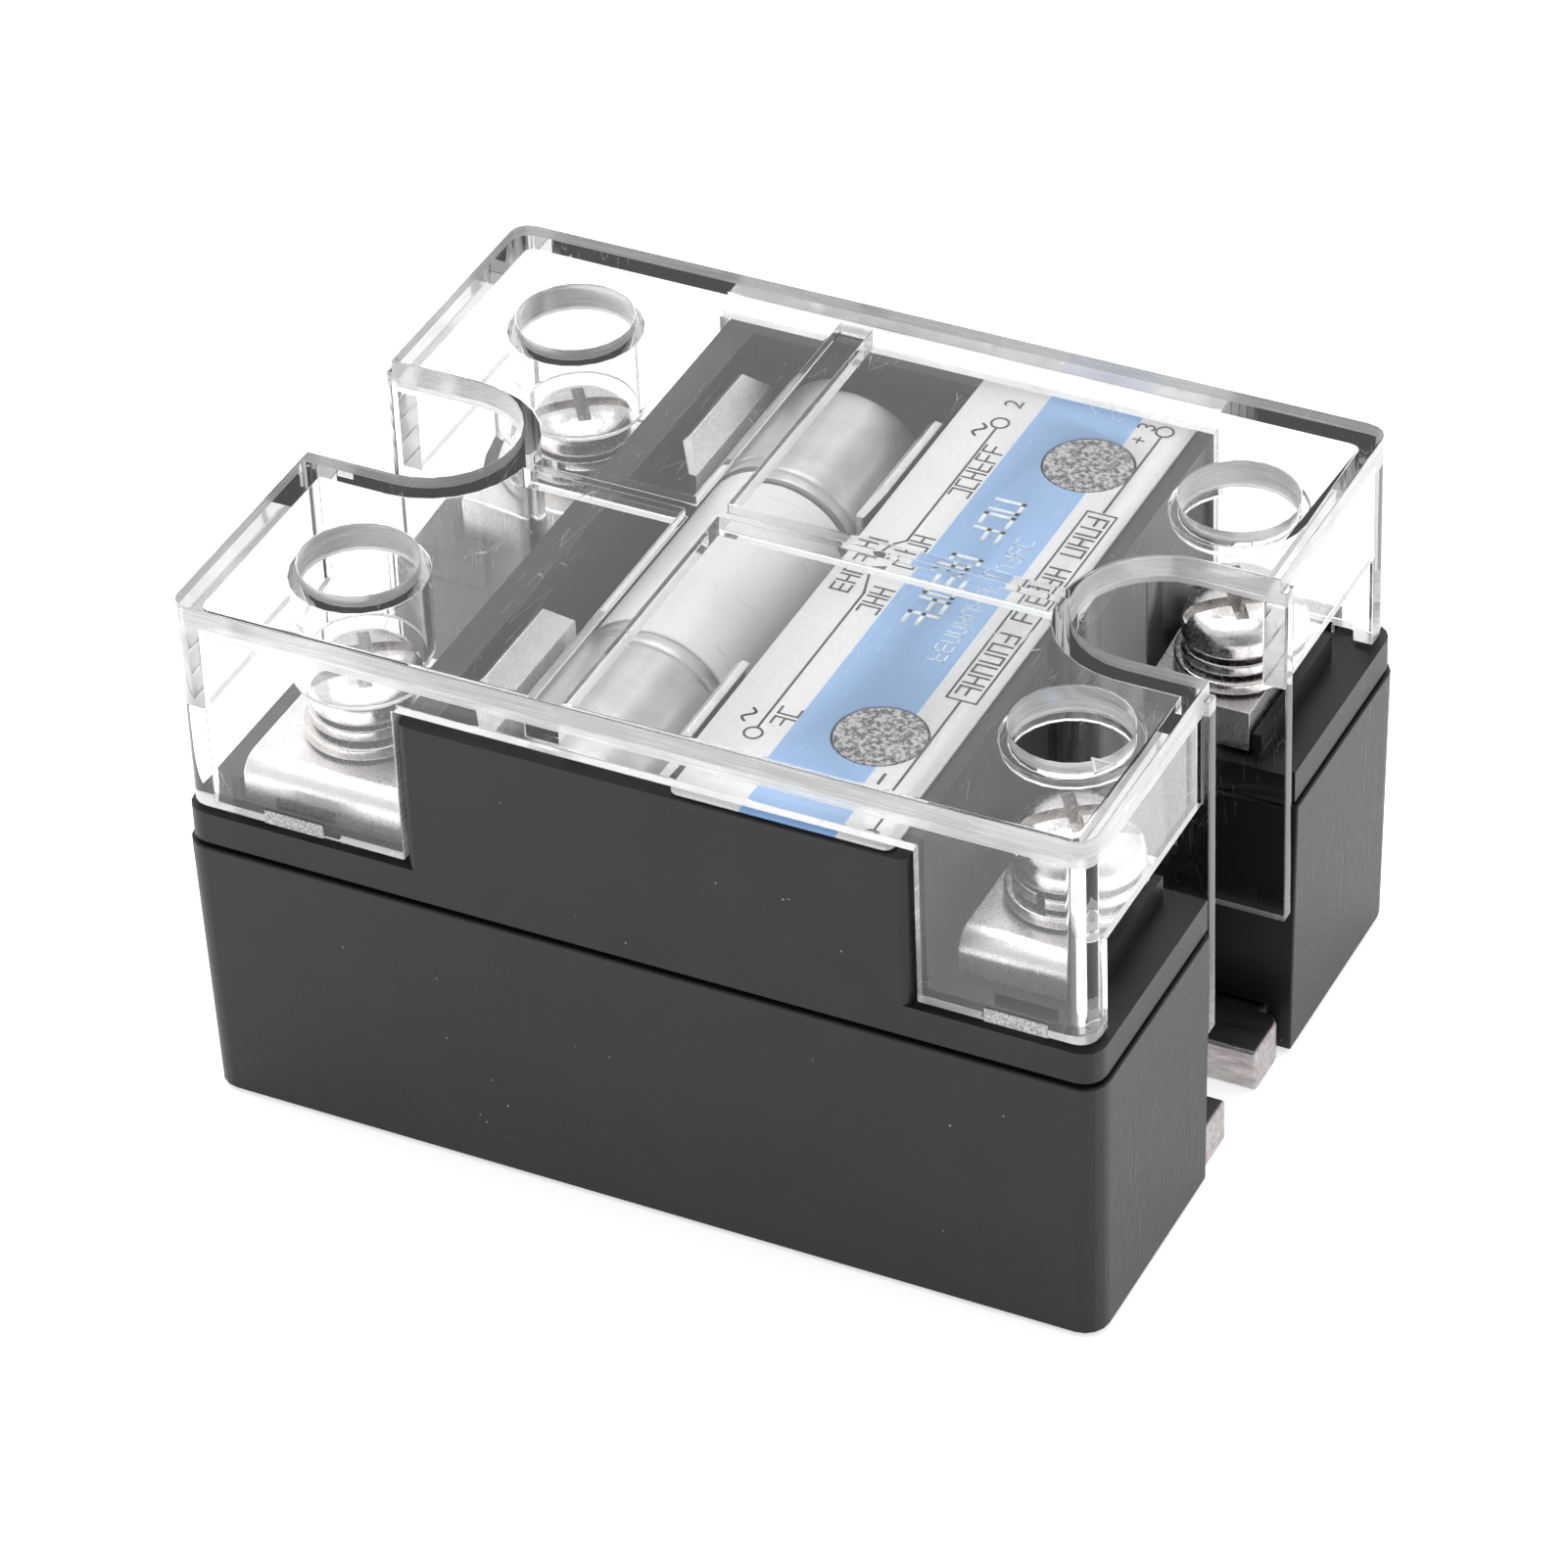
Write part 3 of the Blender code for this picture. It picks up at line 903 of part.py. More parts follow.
for made_object in PARTS.objects:
    if made_object.type == "MESH":
        made_object.data.shade_smooth()
        made_object.data.set_sharp_from_angle(angle=math.radians(35))
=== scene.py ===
"""Looks of the panel-mount solid state relay: a clear moulded cover over four screw terminals, a
cartridge fuse in spring clips and a printed label, on a black two-part case and an aluminium plate.

Lengths are in metres, in the CAD model's frame: +X runs towards the control terminals 3 and 4, +Y
towards the rear terminals 2 and 3, and +Z up. Places are worked out from the CAD nodes' boxes.
"""

import json
import math
import random

import bmesh
import bpy
from mathutils import Matrix, Vector


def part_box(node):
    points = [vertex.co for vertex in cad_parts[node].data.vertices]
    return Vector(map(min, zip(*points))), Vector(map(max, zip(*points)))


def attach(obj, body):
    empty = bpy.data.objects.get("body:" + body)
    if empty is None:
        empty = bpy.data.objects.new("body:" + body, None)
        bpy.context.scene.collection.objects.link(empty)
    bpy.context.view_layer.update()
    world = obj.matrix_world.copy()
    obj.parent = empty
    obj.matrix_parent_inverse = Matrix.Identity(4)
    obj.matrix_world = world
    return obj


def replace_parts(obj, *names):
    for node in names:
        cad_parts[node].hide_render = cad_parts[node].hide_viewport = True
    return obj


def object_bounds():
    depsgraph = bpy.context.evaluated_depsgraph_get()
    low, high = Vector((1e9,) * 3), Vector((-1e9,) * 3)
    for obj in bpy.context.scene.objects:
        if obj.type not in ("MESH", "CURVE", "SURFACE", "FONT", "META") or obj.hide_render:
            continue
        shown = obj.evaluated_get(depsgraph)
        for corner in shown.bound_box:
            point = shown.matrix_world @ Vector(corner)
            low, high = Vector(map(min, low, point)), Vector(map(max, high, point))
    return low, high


mm = 0.001

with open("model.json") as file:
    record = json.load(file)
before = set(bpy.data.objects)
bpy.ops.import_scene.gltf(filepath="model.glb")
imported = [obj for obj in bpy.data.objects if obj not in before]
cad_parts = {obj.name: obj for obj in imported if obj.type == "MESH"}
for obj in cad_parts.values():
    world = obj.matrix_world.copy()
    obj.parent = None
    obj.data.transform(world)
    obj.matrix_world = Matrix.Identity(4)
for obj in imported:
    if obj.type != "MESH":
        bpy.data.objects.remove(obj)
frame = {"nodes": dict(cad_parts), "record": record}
cad_low, cad_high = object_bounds()


# ---- places read from the frame ------------------------------------------------------------------
def middle(node):
    low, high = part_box(node)
    return (low + high) / 2


def body_of(node):
    bodies = frame["record"]["behaviour"]["bodies"]
    return next(body for body, members in bodies.items() if node in members)


def slot_of(node):
    parts = frame["record"]["subparts"]
    return next(part["material_slot"] for part in parts if part["node"] == node)


SCREW_NUMBERS = (1, 2, 3, 4)
SCREW_AXIS = {number: middle(f"terminal_screw_{number}") for number in SCREW_NUMBERS}
FUSE_AXIS = middle("fuse_tube")
LABEL_LOW, LABEL_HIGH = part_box("label")
COVER_LOW, COVER_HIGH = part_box("clear_cover")


# ---- materials -----------------------------------------------------------------------------------
class Finish:
    """A Principled material being put together, with short names for the nodes that feed it."""

    def __init__(self, name, color, roughness, metallic=0.0, **settings):
        self.material = bpy.data.materials.new(name)
        self.material.use_nodes = True
        self.tree = self.material.node_tree
        self.shader = self.tree.nodes["Principled BSDF"]
        self.shader.inputs["Base Color"].default_value = (*color, 1.0)
        self.shader.inputs["Roughness"].default_value = roughness
        self.shader.inputs["Metallic"].default_value = metallic
        for socket, value in settings.items():
            self.shader.inputs[socket.replace("_", " ")].default_value = value
        self.place = self.tree.nodes.new("ShaderNodeTexCoord").outputs["Object"]

    def node(self, kind, inputs=(), **settings):
        made = self.tree.nodes.new(kind)
        for name, value in settings.items():
            setattr(made, name, value)
        for key, value in dict(inputs).items():
            self.feed(made.inputs[key], value)
        return made

    def feed(self, socket, value):
        if isinstance(value, bpy.types.NodeSocket):
            self.tree.links.new(value, socket)
        else:
            socket.default_value = value

    def stretched(self, scale):
        """The object's own coordinates in millimetres, divided by a length for each direction."""
        factors = tuple(1 / (mm * length) for length in scale)
        return self.node("ShaderNodeMapping", {"Vector": self.place, "Scale": factors}).outputs[0]

    def noise(self, size, detail=3.0, rough=0.5, seed=0.0):
        """Smooth noise of about that grain size, one length or one for each direction, in mm."""
        size = size if isinstance(size, tuple) else (size,) * 3
        inputs = {"Vector": self.stretched(size), "Scale": 1.0, "W": seed, "Detail": detail,
                  "Roughness": rough}
        made = self.node("ShaderNodeTexNoise", inputs, noise_dimensions="4D")
        return made.outputs["Fac"]

    def cells(self, size, feature="F1"):
        """The distance to the nearest of scattered points, or to the nearest edge between them."""
        size = size if isinstance(size, tuple) else (size,) * 3
        return self.node("ShaderNodeTexVoronoi", {"Vector": self.stretched(size), "Scale": 1.0},
                         feature=feature).outputs["Distance"]

    def remap(self, value, low, high, to_low=0.0, to_high=1.0):
        return self.node("ShaderNodeMapRange", {"Value": value, "From Min": low, "From Max": high,
                                                "To Min": to_low, "To Max": to_high}).outputs[0]

    def math(self, operation, first, second=0.5):
        return self.node("ShaderNodeMath", {0: first, 1: second}, operation=operation).outputs[0]

    def blend(self, factor, first, second):
        made = self.node("ShaderNodeMix", {"Factor": factor}, data_type="RGBA")
        for index, value in ((6, first), (7, second)):
            value = value if isinstance(value, bpy.types.NodeSocket) else (*value, 1.0)
            self.feed(made.inputs[index], value)
        return made.outputs[2]

    def axis(self, source, name):
        return self.node("ShaderNodeSeparateXYZ", {0: source}).outputs[name]

    def facing(self, name, least=0.8):
        """1 on faces that look along that axis, either way."""
        normal = self.node("ShaderNodeNewGeometry").outputs["True Normal"]
        size = self.math("ABSOLUTE", self.axis(normal, name), 0.0)
        return self.math("GREATER_THAN", size, least)

    def set(self, socket, value):
        self.feed(self.shader.inputs[socket], value)

    def bump(self, height, distance, strength=1.0):
        made = self.node("ShaderNodeBump", {"Height": height, "Distance": distance * mm,
                                            "Strength": strength})
        previous = self.shader.inputs["Normal"]
        if previous.is_linked:
            self.feed(made.inputs["Normal"], previous.links[0].from_socket)
        self.feed(previous, made.outputs[0])

    def let_light_in(self, share):
        """Lets that share of the lamps' light straight through, to what lies behind the plastic."""
        path = self.tree.nodes.new("ShaderNodeLightPath")
        clear = self.node("ShaderNodeBsdfTransparent", {"Color": (share, share, share, 1.0)})
        output = self.tree.nodes["Material Output"].inputs["Surface"]
        mixed = self.node("ShaderNodeMixShader", {0: path.outputs["Is Shadow Ray"],
                                                  1: self.shader.outputs[0], 2: clear.outputs[0]})
        self.feed(output, mixed.outputs[0])


def plain_finish(name, color, roughness, metallic=0.0, grain=0.4, wear=0.12, depth=0.004):
    """A material with a fine grain: its colour, its roughness and its surface vary a little."""
    made = Finish(name, color, roughness, metallic)
    fine = made.noise(grain, 4.0, 0.6)
    broad = made.noise(grain * 12, 2.0, 0.5, 3.0)
    dark = tuple(channel * (1 - wear) for channel in color)
    light = tuple(min(1.0, channel * (1 + wear)) for channel in color)
    made.set("Base Color", made.blend(made.remap(broad, 0.35, 0.65), dark, light))
    made.set("Roughness", made.remap(fine, 0.3, 0.7, roughness * 0.85, min(1.0, roughness * 1.2)))
    made.bump(fine, depth)
    return made


def black_plastic():
    """Moulded black plastic: fine grain, drag marks and painted highlights on the ends, a few
    specks of dust.
    """
    made = Finish("black_plastic", (0.0105, 0.0105, 0.011), 0.42, Specular_IOR_Level=0.33)
    grain = made.noise(0.16, 3.0, 0.6)
    haze = made.noise(6.0, 3.0, 0.6, 1.0)
    drag = made.noise((0.28, 0.28, 3.4), 3.0, 0.65, 2.0)
    patch = made.noise((7.0, 7.0, 9.0), 1.0, 0.5, 5.0)
    marks = made.math("MULTIPLY", made.remap(drag, 0.53, 0.66), made.remap(patch, 0.42, 0.58))
    marks = made.math("MULTIPLY", marks, made.facing("X"))
    dust = made.math("LESS_THAN", made.cells(1.5), 0.04)
    dust = made.math("MULTIPLY", dust, made.remap(made.noise(5.0, 2.0, 0.5, 7.0), 0.5, 0.62))
    body = made.blend(made.remap(haze, 0.35, 0.65), (0.0085, 0.0085, 0.009),
                      (0.0115, 0.0115, 0.012))
    # the end faces, which look along X, are painted lighter: a painted highlight where the light
    # catches the ends
    body = made.blend(made.facing("X"), body, (0.019, 0.019, 0.0195))
    body = made.blend(marks, body, (0.004, 0.004, 0.004))
    made.set("Base Color", made.blend(dust, body, (0.35, 0.35, 0.34)))
    rough = made.remap(grain, 0.3, 0.7, 0.36, 0.5)
    made.set("Roughness", made.math("SUBTRACT", rough, made.math("MULTIPLY", marks, 0.12)))
    made.bump(grain, 0.006)
    made.bump(made.math("MULTIPLY", marks, -1.0), 0.02)
    return made.material


def clear_plastic():
    """Clear moulded plastic, a little wavy, with hairline scratches and dust on it."""
    made = Finish("clear_plastic", (0.97, 0.975, 0.975), 0.012, Transmission_Weight=1.0, IOR=1.52)
    wave = made.noise((5.0, 5.0, 9.0), 2.0, 0.5)
    made.bump(wave, 0.003)
    scratch = made.cells((0.9, 9.0, 6.0), "DISTANCE_TO_EDGE")
    where = made.remap(made.noise(4.0, 2.0, 0.5, 4.0), 0.58, 0.64)
    line = made.math("MULTIPLY", made.math("LESS_THAN", scratch, 0.005), where)
    dust = made.math("LESS_THAN", made.cells(1.3), 0.03)
    dust = made.math("MULTIPLY", dust, made.remap(made.noise(7.0, 2.0, 0.5, 9.0), 0.5, 0.58))
    dirt = made.math("MAXIMUM", line, dust)
    made.set("Roughness", made.remap(dirt, 0.0, 1.0, 0.012, 0.6))
    made.let_light_in(0.6)
    return made.material


def plastic_edge_painted_glow():
    """The edges of the clear plastic, which gather light: painted a milky white as a painted glow,
    with fine moulding streaks through it.
    """
    made = Finish("plastic_edge_painted_glow", (0.9, 0.9, 0.9), 0.22, Transmission_Weight=0.35, IOR=1.5)
    streak = made.noise((7.0, 7.0, 0.14), 4.0, 0.65)
    broad = made.noise((4.0, 4.0, 2.0), 2.0, 0.5, 3.0)
    tone = made.math("MULTIPLY", made.remap(streak, 0.35, 0.62, 0.5, 1.0),
                     made.remap(broad, 0.35, 0.6, 0.75, 1.0))
    # painted glow: a near-white base colour, made darker along the moulding streaks
    made.set("Base Color", made.blend(tone, (0.38, 0.38, 0.38), (0.97, 0.97, 0.97)))
    made.set("Roughness", made.remap(streak, 0.3, 0.7, 0.1, 0.34))
    made.bump(streak, 0.02)
    made.let_light_in(0.5)
    return made.material


def frosted_plastic():
    """The sparkling, roughened clear plastic at the roots of the snap tabs."""
    made = Finish("frosted_plastic", (0.93, 0.93, 0.93), 0.35, Transmission_Weight=0.4, IOR=1.5)
    crystal = made.noise(0.14, 3.0, 0.75)
    made.set("Base Color", made.blend(made.remap(crystal, 0.42, 0.56), (0.35, 0.35, 0.35),
                                      (0.98, 0.98, 0.98)))
    made.bump(crystal, 0.08)
    return made.material


def tinned_metal():
    """Tin plate over sheared brass: satin and faintly pink, with shear lines on the cut sides."""
    made = Finish("tinned_metal", (0.74, 0.71, 0.70), 0.3, 1.0)
    shear = made.noise((0.22, 0.22, 2.4), 4.0, 0.7)
    speck = made.noise(0.12, 2.0, 0.6, 2.0)
    cloud = made.noise(2.2, 3.0, 0.6, 4.0)
    sides = made.facing("Y", 0.9)
    made.set("Base Color", made.blend(made.remap(cloud, 0.35, 0.65), (0.84, 0.81, 0.80),
                                      (0.95, 0.935, 0.93)))
    made.set("Roughness", made.remap(speck, 0.3, 0.7, 0.22, 0.42))
    made.bump(made.math("MULTIPLY", shear, sides), 0.05)
    made.bump(speck, 0.012)
    return made.material


def screw_plate():
    """Bright nickel on steel, slightly pitted."""
    made = Finish("screw_plate", (0.78, 0.75, 0.74), 0.22, 1.0)
    pits = made.noise(0.35, 4.0, 0.65)
    made.set("Roughness", made.remap(pits, 0.35, 0.65, 0.14, 0.34))
    made.bump(pits, 0.012)
    return made.material


def cap_metal():
    """The satin end caps of the fuse, with fine lines round them."""
    made = Finish("cap_metal", (0.66, 0.655, 0.65), 0.4, 1.0)
    rings = made.noise((6.0, 0.12, 6.0), 3.0, 0.6)
    cloud = made.noise(2.6, 3.0, 0.6, 4.0)
    made.set("Base Color", made.blend(made.remap(cloud, 0.35, 0.65), (0.42, 0.415, 0.41),
                                      (0.52, 0.515, 0.51)))
    made.set("Roughness", made.remap(rings, 0.3, 0.7, 0.34, 0.5))
    made.bump(rings, 0.004)
    return made.material


def aluminium():
    """Rolled on its faces and torn on its cut edges, with painted shade making the flat faces dark
    grey.
    """
    made = Finish("aluminium", (0.6, 0.6, 0.605), 0.4, 1.0)
    rolled = made.noise((4.0, 0.15, 4.0), 3.0, 0.6)
    torn = made.noise((1.6, 0.3, 0.5), 4.0, 0.7, 3.0)
    upright = made.facing("Z")
    tone = made.blend(made.remap(torn, 0.35, 0.65), (0.36, 0.32, 0.32), (0.62, 0.59, 0.59))
    # the flat faces, looking up and down, are painted dark grey: painted shade; the cut edges keep
    # the metal's own tone
    made.set("Base Color", made.blend(upright, tone, (0.17, 0.17, 0.175)))
    made.set("Roughness", made.remap(rolled, 0.3, 0.7, 0.36, 0.55))
    sides = made.math("SUBTRACT", 1.0, upright)
    made.bump(made.math("MULTIPLY", torn, sides), 0.12)
    made.bump(rolled, 0.006)
    return made.material


def ceramic():
    """Fired white ceramic with a half-gloss skin and a few faint smudges."""
    made = Finish("ceramic", (0.86, 0.855, 0.84), 0.32, Coat_Weight=0.25, Coat_Roughness=0.2)
    smudge = made.noise((2.6, 0.5, 2.6), 4.0, 0.65, 2.0)
    made.set("Base Color", made.blend(made.remap(smudge, 0.6, 0.72), (0.87, 0.865, 0.85),
                                      (0.66, 0.65, 0.63)))
    grain = made.noise(0.5, 3.0, 0.6)
    made.set("Roughness", made.remap(grain, 0.3, 0.7, 0.26, 0.42))
    made.bump(grain, 0.004)
    return made.material


STRIPE_START, STRIPE_END = 0.323, 0.755     # shares of the label's width


def label_film():
    """White printed film with one blue stripe down it, a little uneven in tone."""
    made = Finish("label_film", (0.8, 0.8, 0.8), 0.5)
    across = made.axis(made.stretched((1.0, 1.0, 1.0)), "X")
    width = (LABEL_HIGH.x - LABEL_LOW.x) / mm
    start = LABEL_LOW.x / mm + STRIPE_START * width
    end = LABEL_LOW.x / mm + STRIPE_END * width
    stripe = made.math("MULTIPLY", made.math("GREATER_THAN", across, start),
                       made.math("LESS_THAN", across, end))
    fibre = made.noise(0.22, 3.0, 0.7)
    white = made.blend(made.remap(fibre, 0.35, 0.65), (0.80, 0.80, 0.80), (0.90, 0.90, 0.90))
    blue = made.blend(made.remap(fibre, 0.3, 0.7), (0.27, 0.47, 0.80), (0.31, 0.51, 0.84))
    made.set("Base Color", made.blend(stripe, white, blue))
    made.set("Roughness", made.remap(fibre, 0.3, 0.7, 0.42, 0.6))
    made.bump(fibre, 0.006)
    return made.material


def frosted_window():
    """A frosted grey disc, peppered light and dark."""
    made = Finish("frosted_window", (0.28, 0.28, 0.28), 0.55)
    pepper = made.noise(0.3, 3.0, 0.7)
    made.set("Base Color", made.blend(made.remap(pepper, 0.44, 0.58), (0.035, 0.035, 0.035),
                                      (0.52, 0.52, 0.52)))
    made.bump(pepper, 0.06)
    return made.material


INK = plain_finish("ink", (0.035, 0.035, 0.04), 0.5, grain=0.1, depth=0.002).material
FAINT_INK = plain_finish("faint_ink", (0.82, 0.9, 0.97), 0.5, grain=0.1, depth=0.002).material
BLACK_PLASTIC = black_plastic()
CLEAR_PLASTIC = clear_plastic()
PLASTIC_EDGE_PAINTED_GLOW = plastic_edge_painted_glow()
FROSTED_PLASTIC = frosted_plastic()
TINNED_METAL = tinned_metal()
SCREW_PLATE = screw_plate()
CAP_METAL = cap_metal()
CERAMIC = ceramic()
SLOT_FINISH = {
    "aluminium": aluminium(),
    "black_plastic": BLACK_PLASTIC,
    "clear_plastic": CLEAR_PLASTIC,
    "tinned_brass": TINNED_METAL,
    "plated_steel": SCREW_PLATE,
    "ceramic": CERAMIC,
    "label_paper": label_film(),
    "frosted_grey": frosted_window(),
    "copper": plain_finish("copper", (0.82, 0.46, 0.32), 0.32, 1.0, grain=0.3).material,
    "chip_grey": plain_finish("chip_grey", (0.2, 0.2, 0.24), 0.2, 0.5, grain=0.2).material,
    "board_green": plain_finish("board_green", (0.02, 0.18, 0.07), 0.35, grain=0.5).material,
    "component_black": plain_finish("component_black", (0.015, 0.015, 0.016), 0.45).material,
    "resistor_blue": plain_finish("resistor_blue", (0.18, 0.4, 0.6), 0.35, grain=0.3).material,
    "capacitor_yellow": plain_finish("capacitor_yellow", (0.72, 0.5, 0.08), 0.4).material,
    "led_red": plain_finish("led_red", (0.75, 0.04, 0.03), 0.2, grain=0.3).material,
    "resin": plain_finish("resin", (0.03, 0.03, 0.032), 0.3, grain=1.5, depth=0.02).material,
}

for node_name, node_object in frame["nodes"].items():
    node_object.data.materials.clear()
    node_object.data.materials.append(SLOT_FINISH[slot_of(node_name)])


# ---- mesh helpers --------------------------------------------------------------------------------
def piece(name, mesh, finish_material, body, where=(0, 0, 0)):
    """An object made from a mesh or a bmesh, with its finish, riding on its body."""
    if isinstance(mesh, bmesh.types.BMesh):
        shape = mesh
        mesh = bpy.data.meshes.new(name)
        shape.to_mesh(mesh)
        shape.free()
    for brought in ("custom_normal", "sharp_edge", "sharp_face"):
        if brought in mesh.attributes:
            mesh.attributes.remove(mesh.attributes[brought])
    made = bpy.data.objects.new(name, mesh)
    made.location = where
    bpy.context.scene.collection.objects.link(made)
    mesh.materials.append(finish_material)
    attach(made, body)
    return made


def round_edges(made, width, segments=2, angle=32):
    """Rounds the sharp edges and keeps the flat faces looking flat."""
    bevel = made.modifiers.new("round_edges", "BEVEL")
    bevel.width = width
    bevel.segments = segments
    bevel.limit_method = "ANGLE"
    bevel.angle_limit = math.radians(angle)
    made.data.shade_smooth()
    weighted = made.modifiers.new("flat_faces", "WEIGHTED_NORMAL")
    weighted.weight = 100


def joined_faces(node):
    """The CAD node's mesh with its flat faces joined up again."""
    shape = bmesh.new()
    shape.from_mesh(frame["nodes"][node].data)
    bmesh.ops.remove_doubles(shape, verts=shape.verts, dist=0.002 * mm)
    bmesh.ops.dissolve_limit(shape, angle_limit=math.radians(1.5), verts=shape.verts,
                             edges=shape.edges)
    return shape


def refined(node, width, segments=2):
    """A finer copy of a CAD node, with its edges rounded."""
    slot = slot_of(node)
    made = piece(f"{node}_fine", joined_faces(node), SLOT_FINISH[slot], body_of(node))
    round_edges(made, width, segments)
    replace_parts(made, node)


def softened(points, radius, steps=4, closed=False):
    """The same outline with a short curve in place of each corner."""
    made = []
    for index, point in enumerate(points):
        if not closed and index in (0, len(points) - 1):
            made.append(tuple(point))
            continue
        corner = Vector(point)
        before = Vector(points[index - 1]) - corner
        after = Vector(points[(index + 1) % len(points)]) - corner
        reach = min(radius, before.length * 0.48, after.length * 0.48)
        start = corner + before.normalized() * reach
        end = corner + after.normalized() * reach
        for step in range(steps + 1):
            part = step / steps
            made.append(tuple(start * (1 - part) ** 2 + corner * 2 * part * (1 - part)
                              + end * part ** 2))
    return made


def turned(profile, steps=72, closed=False):
    """A shape turned about the Z axis from a profile of (radius, height) points."""
    shape = bmesh.new()
    verts = [shape.verts.new((radius, 0, height)) for radius, height in profile]
    ends = verts[1:] + (verts[:1] if closed else [])
    edges = [shape.edges.new(pair) for pair in zip(verts, ends)]
    bmesh.ops.spin(shape, geom=verts + edges, cent=(0, 0, 0), axis=(0, 0, 1), dvec=(0, 0, 0),
                   angle=2 * math.pi, steps=steps, use_merge=True)
    bmesh.ops.remove_doubles(shape, verts=shape.verts, dist=0.0005 * mm)
    bmesh.ops.recalc_face_normals(shape, faces=shape.faces)
    return shape


def carved(shape, cutters):
    """The mesh of a shape with the cutters' shapes taken out of it."""
    helpers = []
    for item in [shape] + cutters:
        mesh = bpy.data.meshes.new("carving")
        item.to_mesh(mesh)
        item.free()
        helpers.append(bpy.data.objects.new("carving", mesh))
        bpy.context.scene.collection.objects.link(helpers[-1])
    for cutter in helpers[1:]:
        boolean = helpers[0].modifiers.new("cut", "BOOLEAN")
        boolean.operation = "DIFFERENCE"
        boolean.object = cutter
    bpy.context.view_layer.update()
    graph = bpy.context.evaluated_depsgraph_get()
    mesh = bpy.data.meshes.new_from_object(helpers[0].evaluated_get(graph), depsgraph=graph)
    for helper in helpers:
        bpy.data.objects.remove(helper, do_unlink=True)
    return mesh


def wedge(length, top_width, bottom_width, bottom, top, turn=0.0):
    """A bar along X that is wider at its top, turned about Z."""
    shape = bmesh.new()
    bmesh.ops.create_cube(shape, size=1)
    for vert in shape.verts:
        half = (top_width if vert.co.z > 0 else bottom_width) / 2
        vert.co = (math.copysign(length / 2, vert.co.x), math.copysign(half, vert.co.y),
                   top if vert.co.z > 0 else bottom)
    shape.transform(Matrix.Rotation(turn, 4, "Z"))
    return shape


def smooth(made, angle=35):
    """Smooth shading, broken at edges sharper than the angle in degrees."""
    made.data.shade_smooth()
    made.data.set_sharp_from_angle(angle=math.radians(angle))
    return made


# ---- clear cover ---------------------------------------------------------------------------------
PLATE_DEPTH = 1.9 * mm
WALL = 1.3 * mm
TAB_X = {-1: COVER_LOW.x + 7.7 * mm, 1: COVER_HIGH.x - 5.1 * mm}
TAB_LENGTH = 4.0 * mm
TAB_RISE = 0.95 * mm
TAB_ROOT_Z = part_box("upper_case")[0].z + 4.75 * mm
ARROW_PLACE = (26.9 * mm, -15.2 * mm)
ARROW_RADIUS = 0.95 * mm
PLATE_RIBS_DEPTH = 3.6 * mm         # the ribs' undersides lie no deeper than this under the top
OPENINGS_REACH = 24 * mm            # the openings in the side walls lie this near the middle


def clear_cover():
    """The cover, with a painted glow on its edges where they gather light."""
    shape = joined_faces("clear_cover")
    plate_under = COVER_HIGH.z - PLATE_DEPTH
    everything = shape.verts[:] + shape.edges[:] + shape.faces[:]
    bmesh.ops.bisect_plane(shape, geom=everything, dist=0.01 * mm, plane_co=(0, 0, plate_under),
                           plane_no=(0, 0, 1))
    for face in shape.faces:
        centre = face.calc_center_median()
        normal = face.normal
        in_side_wall = abs(centre.y) > COVER_HIGH.y - WALL - 0.05 * mm
        plate_edge = centre.z > plate_under and abs(normal.z) < 0.1
        under_edge = normal.z < -0.9 and centre.z < COVER_HIGH.z - PLATE_RIBS_DEPTH
        opening_edge = abs(normal.x) > 0.9 and in_side_wall and abs(centre.x) < OPENINGS_REACH
        # the plate's edges, the ribs' undersides and the openings' edges take the painted edge glow
        face.material_index = int(plate_edge or under_edge or opening_edge)
    made = piece("clear_cover_fine", shape, CLEAR_PLASTIC, "cover")
    # the second material is the painted edge glow
    made.data.materials.append(PLASTIC_EDGE_PAINTED_GLOW)
    round_edges(made, 0.16 * mm)
    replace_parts(made, "clear_cover")


def tab_root(number, x, side):
    """The frosted patch on the wall over a snap tab, a little proud of the wall."""
    shape = bmesh.new()
    bmesh.ops.create_cube(shape, size=1)
    for vert in shape.verts:
        outside = vert.co.y * side > 0
        vert.co = (x + math.copysign(TAB_LENGTH / 2, vert.co.x),
                   side * (COVER_HIGH.y + (0.1 if outside else 0.01) * mm),
                   TAB_ROOT_Z if vert.co.z < 0 else TAB_ROOT_Z + TAB_RISE)
    bmesh.ops.recalc_face_normals(shape, faces=shape.faces)
    made = piece(f"tab_root_{number}", shape, FROSTED_PLASTIC, "cover")
    round_edges(made, 0.05 * mm)


def moulded_arrow():
    """A small raised outline of a triangle on the cover's top."""
    shape = bmesh.new()
    rings = []
    for radius, level in ((1.0, 0.005), (1.0, 0.06), (0.62, 0.06), (0.62, 0.005)):
        ring = []
        for step in range(3):
            angle = math.radians(30 + 120 * step)
            ring.append(shape.verts.new((ARROW_PLACE[0] + radius * ARROW_RADIUS * math.cos(angle),
                                         ARROW_PLACE[1] + radius * ARROW_RADIUS * math.sin(angle),
                                         COVER_HIGH.z + level * mm)))
        rings.append(ring)
    for first, second in zip(rings, rings[1:] + rings[:1]):
        for step in range(3):
            after = (step + 1) % 3
            shape.faces.new((first[step], first[after], second[after], second[step]))
    bmesh.ops.recalc_face_normals(shape, faces=shape.faces)
    # the arrow takes the painted edge glow
    piece("moulded_arrow", shape, PLASTIC_EDGE_PAINTED_GLOW, "cover")


# ---- screws and washers --------------------------------------------------------------------------
THREAD_PITCH = 0.7 * mm
THREAD_DEPTH = 0.34 * mm
THREAD_CREST = 1.97 * mm
WASHER_BORE = 2.2 * mm
SPRING_GAP = math.radians(10)
SPRING_LIFT = 0.16 * mm
DRIVE_TURN = math.radians(35)


